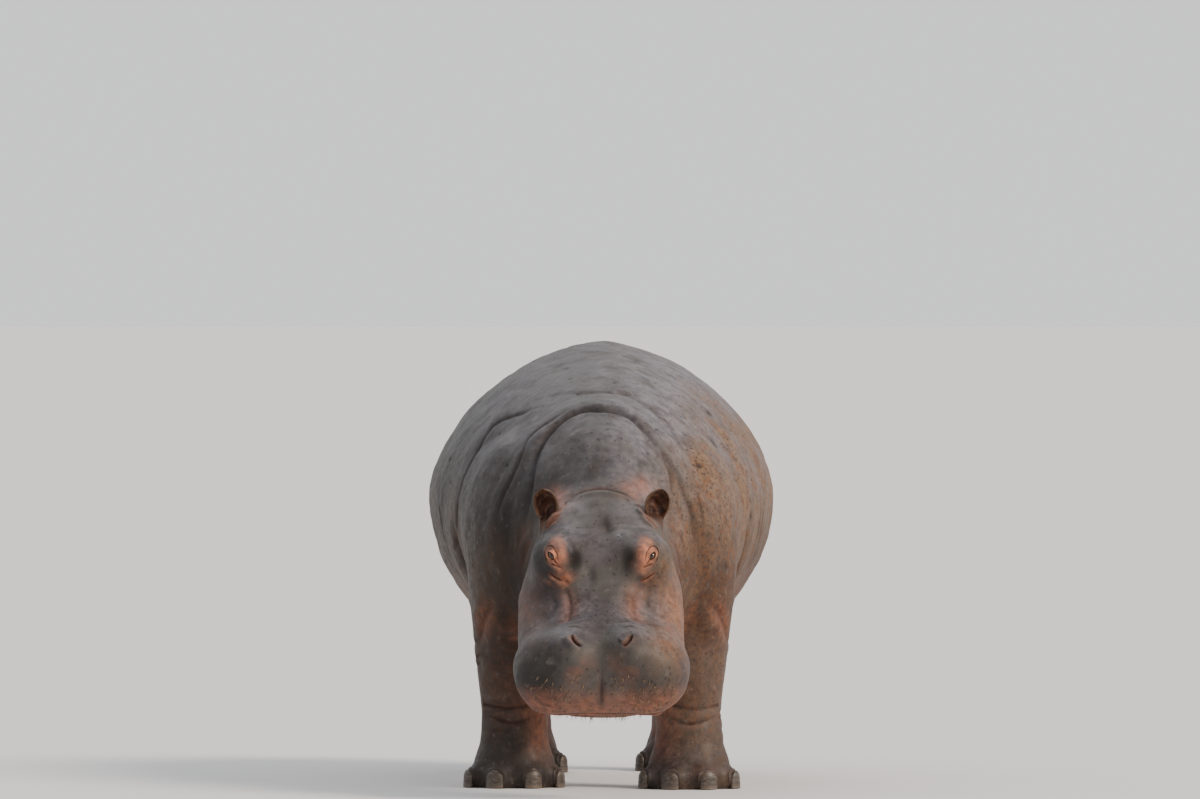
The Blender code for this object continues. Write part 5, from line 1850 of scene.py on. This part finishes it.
@dataclass
class Bristles:
    """Stiff hairs of the muzzle, ear rims and tail, each a thin tapered blade of mesh."""

    anatomy: Anatomy
    joints: int = 4
    sides: int = 3
    patch: float = 0.003  # across, on the map
    sunk: float = 0.004
    droop: float = 0.25
    batch: int = 60

    def muzzle_roots(self) -> tuple[Array, Array]:
        """Roots and skin normals of the bristle groups on the lips and chin."""
        draw = np.random.default_rng(41)
        spots = []
        for low, high, count, widest in ((-0.235, -0.085, 150, 0.235), (-0.350, -0.300, 44, 0.16)):
            across = draw.uniform(-widest, widest, count)
            spots.append(np.stack([across, draw.uniform(low, high, count)], 1))
        flat = np.concatenate(spots)
        flat = flat[(np.abs(flat[:, 0]) > 0.025) | (flat[:, 1] < -0.28)]
        starts = moved(np.insert(flat, 0, 0.9, axis=1), self.anatomy.head)
        heading = np.tile(-np.array(self.anatomy.head)[:3, 0], (len(flat), 1))
        roots = self.anatomy.cast(starts, heading)
        return roots, unit(self.anatomy.slope(roots))

    def tail_roots(self) -> tuple[Array, Array]:
        """Roots and directions of the two combs of the tail."""
        draw = np.random.default_rng(42)
        count = 260
        sign = np.where(draw.random(count) < 0.5, -1.0, 1.0)
        height = 0.605 + 0.20 * draw.random(count) ** 1.6
        start = np.stack([sign * 0.2, 1.975 + draw.normal(0, 0.006, count), np.maximum(height, 0.632)], 1)
        roots = self.anatomy.cast(start, np.stack([-sign, 0 * sign, 0 * sign], 1))
        drop = smoothstep(0.80, 0.62, height)
        backward = draw.normal(0.05, 0.10, count)
        outward = np.stack([sign * (1.0 - 0.72 * drop), backward, -0.55 - 1.2 * drop], 1)
        outward += draw.normal(0, 0.10, outward.shape)
        met = np.abs(self.anatomy.field(roots)) < 0.002
        return roots[met], unit(outward[met])

    def muzzle(self, roots: Array, normals: Array, draw: np.random.Generator) -> Array:
        """Tufts of two to four stiff hairs.

        Args:
            roots: Where the tufts stand.
            normals: The skin's normals there.
            draw: The source of chance that all the hairs share.

        Returns:
            Points of every blade.
        """
        each = draw.integers(2, 5, len(roots))
        count = each.sum()
        starts = np.repeat(roots, each, axis=0) + draw.normal(0, 0.0016, (count, 3))
        headings = np.repeat(normals, each, axis=0) + np.array([0, 0, -0.35])
        headings += draw.normal(0, 0.22, (count, 3))
        lengths = draw.uniform(0.010, 0.026, count)
        return self.blades(starts, unit(headings), lengths, 0.0013, self.droop, 52)

    def ear(self, sign: int, draw: np.random.Generator) -> Array:
        """Points of the short hairs on one ear's rim, on the side that the sign says."""
        roots, headings = Ear(self.anatomy, sign).rim(360, 60 + sign)
        lengths = draw.uniform(0.003, 0.009, len(roots))
        return self.blades(roots, headings, lengths, 0.0007, 0.0, 62 + sign)

    def tail(self, draw: np.random.Generator) -> Array:
        """Points of the stiff hairs in the tail's two combs."""
        roots, headings = self.tail_roots()
        lengths = draw.uniform(0.030, 0.055, len(roots))
        return self.blades(roots, headings, lengths, 0.0020, self.droop, 71)

    def blades(
        self, roots: Array, headings: Array, lengths: Array, width: float, droop: float, seed: int
    ) -> Array:
        """Points of every blade: blades x joints x sides x 3.

        Args:
            roots: Where they start.
            headings: Their first directions.
            lengths: Their lengths.
            width: Their width at the root.
            droop: How much they bend down.
            seed: Picks how each one curls.
        """
        draw = np.random.default_rng(seed)
        curl = draw.normal(0, 0.22, headings.shape) + np.array([0, 0, -droop])
        side = unit(np.cross(headings, np.array([0.31, 0.17, 0.93])))
        other = np.cross(headings, side)
        t = np.linspace(0, 1, self.joints)[None, :, None]
        bend = headings[:, None] * t + 0.5 * curl[:, None] * t**2
        spine = (roots - headings * self.sunk)[:, None] + lengths[:, None, None] * bend
        thick = width * 0.5 * (1 - 0.94 * t[..., None] ** 1.4)
        turns = np.linspace(0, math.tau, self.sides, endpoint=False)
        ring = np.cos(turns)[:, None] * side[:, None] + np.sin(turns)[:, None] * other[:, None]
        return spine[:, :, None] + thick * ring[:, None]

    def build(self, name: str, blades: Array, roots_map: dict, finish: "BristleFinish") -> Thing:
        """Joins blades to one piece with their patches on the hide's map.

        Args:
            name: The piece's name.
            blades: Points from blades().
            roots_map: The hide's coarse points and their places on its map.
            finish: The look of the hairs.

        Returns:
            The finished object.
        """
        count, joints, sides, _ = blades.shape
        first = np.arange(count) * joints * sides
        faces, corners = [], []
        for j, k in product(range(joints - 1), range(sides)):
            near, after = j * sides + k, j * sides + (k + 1) % sides
            faces.append(first[:, None] + np.array([near, after, after + sides, near + sides]))
            left, right = k / sides, (k + 1) / sides
            low, high = j / (joints - 1), (j + 1) / (joints - 1)
            corners.append([(left, low), (right, low), (right, high), (left, high)])
        quads = np.stack(faces, 1).reshape(-1, 4)
        caps = first[:, None] + (joints - 1) * sides + np.arange(sides)
        mesh = bpy.data.meshes.new(name)
        mesh.from_pydata(blades.reshape(-1, 3).tolist(), [], quads.tolist() + caps.tolist())
        places = self.on_map(blades[:, 0].mean(1), roots_map)
        quads_uv = places[:, None, None] + self.patch * (np.array(corners) - 0.5)
        caps_uv = places[:, None] + self.patch * np.array([[-0.5, 0.5], [0.5, 0.5], [0.0, 0.45]])
        layer = mesh.uv_layers.new(name="OFBake")
        layer.data.foreach_set("uv", np.concatenate([quads_uv.ravel(), caps_uv.ravel()]))
        self.anatomy.dress(mesh, finish.material())
        return new_object(name, mesh)

    def on_map(self, roots: Array, roots_map: dict) -> Array:
        """Where on the hide's map each root stands, from the nearest of its coarse points."""
        places = []
        for start in range(0, len(roots), self.batch):
            gaps = roots_map["points"][None] - roots[start : start + self.batch, None]
            places.append(roots_map["spots"][np.linalg.norm(gaps, axis=2).argmin(1)])
        return np.concatenate(places)


# -------- finishes
def per_metre(millimetres: float) -> float:
    """Scale of a pattern whose features are this many millimetres apart."""
    return 1000.0 / millimetres


SOFT = {"interpolation_type": "SMOOTHSTEP"}  # a range whose ends are soft
COLOURS = {"data_type": "RGBA"}  # a mix of two colours


def blank(name: str) -> tuple[Material, Tree, Node]:
    """A new material with its node tree and its Principled shader."""
    material = bpy.data.materials.new(name)
    material.use_nodes = True
    tree = material.node_tree
    return material, tree, tree.nodes["Principled BSDF"]


@dataclass(frozen=True)
class Tint:
    """A colour laid over the earlier ones where a mask and a pattern both allow it.

    Attributes:
        low: sRGB colour in the mottle's valleys.
        high: sRGB colour on its crests.
        mask: The hide's mask that it follows, or "" for everywhere.
        strength: The most that covers.
        millimetres: Distance between the pattern's patches.
        limits: Pattern values between which the tint grows from least to full.
        least: Share of the strength that shows even outside the patches.
        stretch: Scale of the pattern across, back and upward.
        spots: Whether the pattern is round spots rather than clouds.
    """

    low: str
    high: str
    mask: str = ""
    strength: float = 1.0
    millimetres: float = 60
    limits: tuple = (0.35, 0.65)
    least: float = 0.0
    stretch: tuple = (1.0, 1.0, 1.0)
    spots: bool = False


@dataclass(frozen=True)
class Relief:
    """One pattern of the fine relief: its spacing, height share, stretch and kind.

    Attributes:
        millimetres: Distance between its features.
        weight: Its share of the height; below 0 it sinks.
        stretch: Scale across, back and upward.
        plates: Whether it is a net of wrinkles between small plates rather than clouds.
    """

    millimetres: float
    weight: float
    stretch: tuple = (1.0, 1.0, 1.0)
    plates: bool = False


@dataclass(frozen=True)
class HideFinish:
    """Living hippopotamus hide: thick, nearly hairless, damp from its own oily sweat.

    The damp film gives a broad soft sheen on slate brown; dried mud leaves tan and rust on the
    flanks; thin skin in folds and round the eyes shows pink. Lengths are millimetres.
    """

    slate: str = "393634"
    ash: str = "4d4844"
    cloud_mm: float = 230
    mottle_mm: float = 22
    wrinkle_mm: float = 6.5  # coarser than the real 3 mm wrinkles, so that they show
    roughness: tuple = (0.52, 0.74)
    damp: float = 0.08
    damp_roughness: float = 0.34
    hidden_gloss: float = 0.34  # under 0.5, as the wrinkles shade one another at the edges
    crease_roughness: float = 0.3  # how much rougher a crease is
    relief_strength: float = 0.55
    relief_depth: float = 0.0028
    wrinkle_share: float = 0.22  # how far into its plate a wrinkle slopes
    spread: tuple = (0.36, 0.64)  # pattern values between which slate turns to ash
    upright: tuple = (1.0, 1.0, 0.35)

    def tints(self) -> list[Tint]:
        """Colours from the ground up, painted light and shade among them."""
        return [
            Tint("2b2926", "3a3831", strength=0.50, millimetres=150, limits=(0.50, 0.64)),
            Tint("3a3037", "4a3f46", strength=0.45, millimetres=190, limits=(0.50, 0.62)),
            # pale dried skin with painted sky sheen on the top and the lit side
            Tint("55525a", "706d72", "dry_and_sky_sheen", 0.90, 85, (0.30, 0.60), 0.55),
            Tint("26201d", "372e29", "", 0.55, 70, (0.48, 0.68), 0.0, self.upright),
            # painted shade, with the dusky tone of the brow, the nose and the lower legs
            Tint("141110", "1f1b19", "shade", 0.92, 55, (0.25, 0.60), 0.60),
            Tint("5a412c", "72563d", "tan", 0.95, 75, (0.30, 0.58), 0.55, self.upright),
            Tint("4a2a14", "683d1e", "tan", 0.60, 40, (0.50, 0.64), 0.0),
            Tint("351d0e", "492b15", "rust", 0.95, 60, (0.30, 0.60), 0.60),
            Tint("1d130e", "2b1d15", "tan", 0.85, 15, (0.36, 0.14), spots=True),
            Tint("5c5653", "6d6663", "", 0.28, 24, (0.58, 0.74), 0.0),
            Tint("1a1513", "241d1a", "", 0.60, 27, (0.24, 0.10), spots=True),
            Tint("8a5541", "ae6f54", "flush", 1.0, 42, (0.28, 0.60), 0.60),
            Tint("633423", "7c4630", "flush", 0.45, 15, (0.52, 0.70), 0.0),
            # painted shade in creases, hollows, the nook, the lids' lines and the ears' depths, with dirt in
            # the creases
            Tint("130d0b", "1d1412", "crease", 0.85, 30, (0.2, 0.5), 0.8),
            Tint("2a1209", "3e1f12", "earlobe", 1.0, 10, (0.3, 0.5), 0.9),
            Tint("5f3f29", "7b573a", "gilt", 0.85, 8, (0.3, 0.6), 0.6),
            Tint("120b08", "1c110c", "pore", 0.55, 12, (0.2, 0.5), 0.7),
            Tint("150e0b", "221713", "scar", 0.90, 12, (0.2, 0.5), 0.75),
            # pale lid margins: their own colour with a painted highlight
            Tint("a0735a", "b58868", "margin", 0.60, 9, (0.3, 0.6), 0.6),
        ]

    def reliefs(self) -> list[Relief]:
        """Patterns of the fine relief."""
        return [
            Relief(64, 1.5, self.upright),
            Relief(self.mottle_mm, 1.0),
            Relief(self.wrinkle_mm, 0.32, (1.0, 1.0, 1.6), plates=True),
            Relief(10, 0.40, (1.0, 1.0, 2.2)),
        ]

    def material(self) -> Material:
        """Builds the node tree."""
        material, tree, shader = blank("damp_hide")
        place = add_node(tree, "TexCoord").outputs["Object"]
        values = {"Scale": per_metre(self.mottle_mm), "Detail": 5.0, "Roughness": 0.6}
        mottle = add_node(tree, "TexNoise", {}, values, {"Vector": place}).outputs["Fac"]
        tree.links.new(self.colour(tree, place, mottle), shader.inputs["Base Color"])
        self.add_gloss(tree, shader, mottle)
        values = {"Strength": self.relief_strength, "Distance": self.relief_depth}
        bump = add_node(tree, "Bump", {}, values, {"Height": self.height(tree, place)})
        tree.links.new(bump.outputs[0], shader.inputs["Normal"])
        return material

    def colour(self, tree: Tree, place: Socket, mottle: Socket) -> Socket:
        """Lays the tints over the ground of slate and ash.

        Args:
            tree: The node tree.
            place: Where on the animal the surface is.
            mottle: The small clouds that vary each tint.

        Returns:
            The finished colour.
        """
        values = {"Scale": per_metre(self.cloud_mm), "Detail": 4.0}
        cloud = add_node(tree, "TexNoise", {}, values, {"Vector": place}).outputs["Fac"]
        spread = {1: self.spread[0], 2: self.spread[1]}
        drift = add_node(tree, "MapRange", SOFT, spread, {0: cloud}).outputs[0]
        grade = add_node(tree, "MapRange", SOFT, spread, {0: mottle}).outputs[0]
        ends = {6: linear(self.slate), 7: linear(self.ash)}
        colour = add_node(tree, "Mix", COLOURS, ends, {0: drift}).outputs[2]
        for tint in self.tints():
            vector = add_node(tree, "Mapping", {}, {"Scale": tint.stretch}, {"Vector": place}).outputs[0]
            kind, output = ("TexVoronoi", "Distance") if tint.spots else ("TexNoise", "Fac")
            pattern = add_node(tree, kind, {}, {"Scale": per_metre(tint.millimetres)}, {"Vector": vector})
            limits = {1: tint.limits[0], 2: tint.limits[1], 3: tint.least * tint.strength, 4: tint.strength}
            share = add_node(tree, "MapRange", SOFT, limits, {0: pattern.outputs[output]}).outputs[0]
            if tint.mask:
                mask = add_node(tree, "Attribute", {"attribute_name": tint.mask}).outputs["Fac"]
                share = add_node(tree, "Math", {"operation": "MULTIPLY"}, {}, {0: share, 1: mask}).outputs[0]
            hues = {6: linear(tint.low), 7: linear(tint.high)}
            hue = add_node(tree, "Mix", COLOURS, hues, {0: grade}).outputs[2]
            colour = add_node(tree, "Mix", COLOURS, {}, {0: share, 6: colour, 7: hue}).outputs[2]
        return colour

    def add_gloss(self, tree: Tree, shader: Node, mottle: Socket) -> None:
        """Gives the shader its roughness and its damp film, both duller in creases.

        Args:
            tree: The node tree.
            shader: The hide's shader.
            mottle: The small clouds that vary the roughness.
        """
        crease = add_node(tree, "Attribute", {"attribute_name": "crease"}).outputs["Fac"]
        limits = {1: 0.3, 2: 0.7, 3: self.roughness[0], 4: self.roughness[1]}
        rough = add_node(tree, "MapRange", SOFT, limits, {0: mottle}).outputs[0]
        values = {1: self.crease_roughness}
        dull = add_node(tree, "Math", {"operation": "MULTIPLY_ADD"}, values, {0: crease, 2: rough})
        tree.links.new(dull.outputs[0], shader.inputs["Roughness"])
        film = add_node(tree, "MapRange", {}, {1: 0.0, 2: 0.6, 3: self.damp, 4: 0.0}, {0: crease})
        tree.links.new(film.outputs[0], shader.inputs["Coat Weight"])
        shader.inputs["IOR"].default_value = 1.40
        shader.inputs["Specular IOR Level"].default_value = self.hidden_gloss
        shader.inputs["Coat Roughness"].default_value = self.damp_roughness

    def height(self, tree: Tree, place: Socket) -> Socket:
        """Adds up the patterns of the fine relief.

        Args:
            tree: The node tree.
            place: Where on the animal the surface is.

        Returns:
            The height of the relief.
        """
        height = None
        for relief in self.reliefs():
            vector = add_node(tree, "Mapping", {}, {"Scale": relief.stretch}, {"Vector": place}).outputs[0]
            scale = {"Scale": per_metre(relief.millimetres)}
            if relief.plates:
                net = add_node(tree, "TexVoronoi", {"feature": "DISTANCE_TO_EDGE"}, scale, {"Vector": vector})
                limits = {1: 0.0, 2: self.wrinkle_share}
                pattern = add_node(tree, "MapRange", SOFT, limits, {0: net.outputs["Distance"]}).outputs[0]
            else:
                values = {**scale, "Detail": 4.0}
                pattern = add_node(tree, "TexNoise", {}, values, {"Vector": vector}).outputs["Fac"]
            links = {0: pattern, **({2: height} if height else {})}
            values = {1: relief.weight, 2: 0.0}
            height = add_node(tree, "Math", {"operation": "MULTIPLY_ADD"}, values, links).outputs[0]
        return height


@dataclass(frozen=True)
class EyeFinish:
    """Wet living eye: clear cornea over a dark brown iris, with a mirror-like film."""

    white: str = "4a342a"
    iris: str = "5a3a24"
    iris_edge: str = "22130b"
    pupil: str = "030202"
    iris_reach: tuple = (0.50, 0.66)  # of the angle from the middle of the cornea

    def material(self) -> Material:
        """Builds the node tree."""
        material, tree, shader = blank("wet_eye")
        gaze = add_node(tree, "Attribute", {"attribute_name": "gaze"}).outputs["Fac"]
        pupil = add_node(tree, "Attribute", {"attribute_name": "pupil"}).outputs["Fac"]
        place = add_node(tree, "TexCoord").outputs["Object"]
        fibres = add_node(tree, "TexNoise", {}, {"Scale": per_metre(2.0), "Detail": 3.0}, {"Vector": place})
        inner, outer = self.iris_reach
        ends = {6: linear(self.iris_edge), 7: linear(self.iris)}
        colour = add_node(tree, "Mix", COLOURS, ends, {0: fibres.outputs["Fac"]}).outputs[2]
        rings = (
            (gaze, inner, outer, self.iris_edge),
            (gaze, outer, outer + 0.12, self.white),
            (pupil, 1.15, 0.90, self.pupil),
        )
        for value, low, high, hue in rings:
            share = add_node(tree, "MapRange", SOFT, {1: low, 2: high}, {0: value}).outputs[0]
            colour = add_node(tree, "Mix", COLOURS, {7: linear(hue)}, {0: share, 6: colour}).outputs[2]
        tree.links.new(colour, shader.inputs["Base Color"])
        shader.inputs["Roughness"].default_value = 0.07
        shader.inputs["IOR"].default_value = 1.376
        shader.inputs["Coat Weight"].default_value = 0.35
        shader.inputs["Coat Roughness"].default_value = 0.03
        return material


@dataclass(frozen=True)
class NailFinish:
    """Grown horn, worn pale and dusty at the floor, with growth lines across it."""

    horn: str = "2f2722"
    pale: str = "6a5a4c"
    roughness: float = 0.5
    line_mm: float = 6
    worn_height: float = 0.022
    worn_most: float = 0.55
    streaks_most: float = 0.5

    def material(self) -> Material:
        """Builds the node tree."""
        material, tree, shader = blank("toe_horn")
        place = add_node(tree, "TexCoord").outputs["Object"]
        across = add_node(tree, "Mapping", {}, {"Scale": (0.35, 0.35, 1.0)}, {"Vector": place}).outputs[0]
        values = {"Scale": per_metre(self.line_mm), "Detail": 4.0}
        lines = add_node(tree, "TexNoise", {}, values, {"Vector": across}).outputs["Fac"]
        level = add_node(tree, "SeparateXYZ", {}, {}, {"Vector": place}).outputs["Z"]
        limits = {1: 0.38, 2: 0.72, 4: self.streaks_most}
        streaks = add_node(tree, "MapRange", SOFT, limits, {0: lines}).outputs[0]
        limits = {1: self.worn_height, 2: 0.002, 4: self.worn_most}
        worn = add_node(tree, "MapRange", SOFT, limits, {0: level}).outputs[0]
        share = add_node(tree, "Math", {"operation": "MAXIMUM"}, {}, {0: streaks, 1: worn}).outputs[0]
        ends = {6: linear(self.horn), 7: linear(self.pale)}
        colour = add_node(tree, "Mix", COLOURS, ends, {0: share}).outputs[2]
        tree.links.new(colour, shader.inputs["Base Color"])
        shader.inputs["Roughness"].default_value = self.roughness
        bump = add_node(tree, "Bump", {}, {"Strength": 0.4, "Distance": 0.0008}, {"Height": lines})
        tree.links.new(bump.outputs[0], shader.inputs["Normal"])
        return material


@dataclass(frozen=True)
class BristleFinish:
    """Stiff keratin hair: translucent straw to brown, smooth and a little shiny."""

    name: str
    root: str = "4b3a2e"
    tip: str = "9a7f60"
    patch_mm: float = 12
    roughness: float = 0.42

    def material(self) -> Material:
        """Builds the node tree."""
        material, tree, shader = blank(self.name)
        place = add_node(tree, "TexCoord").outputs["Object"]
        patches = add_node(tree, "TexNoise", {}, {"Scale": per_metre(self.patch_mm)}, {"Vector": place})
        share = add_node(tree, "MapRange", {}, {1: 0.35, 2: 0.65}, {0: patches.outputs["Fac"]}).outputs[0]
        ends = {6: linear(self.root), 7: linear(self.tip)}
        hue = add_node(tree, "Mix", COLOURS, ends, {0: share})
        tree.links.new(hue.outputs[2], shader.inputs["Base Color"])
        shader.inputs["Roughness"].default_value = self.roughness
        return material


# -------- studio
@dataclass
class Studio:
    """A plain pale floor, soft lights and the camera."""

    anatomy: Anatomy
    frame_size: tuple = (1200, 799)
    lens: float = 400.0
    sensor: float = 36.0
    distance: float = 42.7  # in front of the eyes
    height: float = 1.753
    level_row: float = 250.0  # the row of the frame that lies at the camera's height
    aside: float = -0.006
    floor_half: float = 260.0
    floor_colour: str = "c9c9ca"
    air_colour: str = "eeeff0"
    air_strength: float = 1.18

    def build(self) -> None:
        """Places the floor, the lights and the camera."""
        self.add_floor()
        self.add_air()
        self.add_sun("key", (0.88, -0.50, 0.72), 4.2, 0.35, "ffefdd")
        self.add_sun("back", (-0.3, 0.9, 0.9), 0.55, 0.50, "ffffff")
        self.add_camera()

    def add_floor(self) -> None:
        """A large plain floor at level 0."""
        bm = bmesh.new()
        bmesh.ops.create_grid(bm, x_segments=1, y_segments=1, size=self.floor_half)
        mesh = drawn(bm, "floor")
        material, _, shader = blank("studio_floor")
        shader.inputs["Base Color"].default_value = linear(self.floor_colour)
        shader.inputs["Roughness"].default_value = 0.85
        mesh.materials.append(material)
        new_object("floor", mesh)

    def add_air(self) -> None:
        """A plain pale surrounding that lights from all sides."""
        world = bpy.data.worlds.new("studio_air")
        world.use_nodes = True
        background = world.node_tree.nodes["Background"]
        background.inputs[0].default_value = linear(self.air_colour)
        background.inputs[1].default_value = self.air_strength
        bpy.context.scene.world = world

    @staticmethod
    def add_sun(name: str, towards: tuple, strength: float, spread: float, colour: str) -> None:
        """Adds one broad lamp.

        Args:
            name: Its name.
            towards: Direction from the animal to the lamp.
            strength: Its strength.
            spread: Its apparent size in radians, which softens shadows.
            colour: Its sRGB hex colour.
        """
        lamp = bpy.data.lights.new(name, "SUN")
        lamp.energy, lamp.angle, lamp.color = strength, spread, linear(colour)[:3]
        obj = bpy.data.objects.new(name, lamp)
        obj.rotation_mode = "QUATERNION"
        obj.rotation_quaternion = Vector(towards).to_track_quat("Z", "Y")
        bpy.context.scene.collection.objects.link(obj)

    def add_camera(self) -> None:
        """A long lens far ahead of the animal, a little above its back."""
        lens = bpy.data.cameras.new("camera")
        lens.lens, lens.sensor_width, lens.clip_end = self.lens, self.sensor, 1000.0
        obj = bpy.data.objects.new("camera", lens)
        bpy.context.scene.collection.objects.link(obj)
        eyes = -self.anatomy.eye_forward + self.anatomy.shift.y
        obj.location = (self.aside, eyes - self.distance, self.height)
        rows = (self.frame_size[1] / 2 - self.level_row) / (self.lens / self.sensor * self.frame_size[0])
        obj.rotation_euler = (math.pi / 2 - math.atan(rows), 0.0, 0.0)
        bpy.context.scene.camera = obj


# -------- the whole model
def attach(piece: Thing, slot: str, replaced: Sequence[str] = ()) -> None:
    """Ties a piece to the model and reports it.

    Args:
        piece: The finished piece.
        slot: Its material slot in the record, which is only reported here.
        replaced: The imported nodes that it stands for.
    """
    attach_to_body(piece, "root")
    if replaced:
        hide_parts(*replaced)
    faces = len(piece.data.polygons)
    LOG.info("%s: %d faces, slot %s, stands for %d nodes", piece.name, faces, slot, len(replaced))


def main() -> None:
    """Builds the hide, eyes, nails and bristles and sets them in the studio."""
    logging.basicConfig(level=logging.INFO, format="%(name)s: %(message)s")
    anatomy = Anatomy()
    nodes = sorted(frame["nodes"])
    bristles = Bristles(anatomy)
    roots, normals = bristles.muzzle_roots()
    hide = Hide(anatomy, roots)
    attach(hide.build(HideFinish()), "skin", [n for n in nodes if not n.startswith(("eye_", "nail_"))])
    for side in SIDES:
        attach(Eyes(anatomy).build(side, EyeFinish()), "eye", [f"eye_{side}"])
    attach(Nails(anatomy).build(NailFinish()), "nail", [n for n in nodes if n.startswith("nail_")])

    draw = np.random.default_rng(51)
    muzzle = bristles.muzzle(roots, normals, draw)
    hairs = [("muzzle_bristles", muzzle, BristleFinish("muzzle_bristle"))]
    for side, sign in SIDES.items():
        finish = BristleFinish("ear_hair", "3a2619", "6e4c33")
        hairs.append((f"ear_{side}_hair", bristles.ear(sign, draw), finish))
    finish = BristleFinish("tail_bristle", "2a211d", "4d3c31")
    hairs.append(("tail_bristles", bristles.tail(draw), finish))
    for name, blades, finish in hairs:
        attach(bristles.build(name, blades, hide.roots_map, finish), "skin")
    Studio(anatomy).build()


if __name__ == "__main__":
    main()
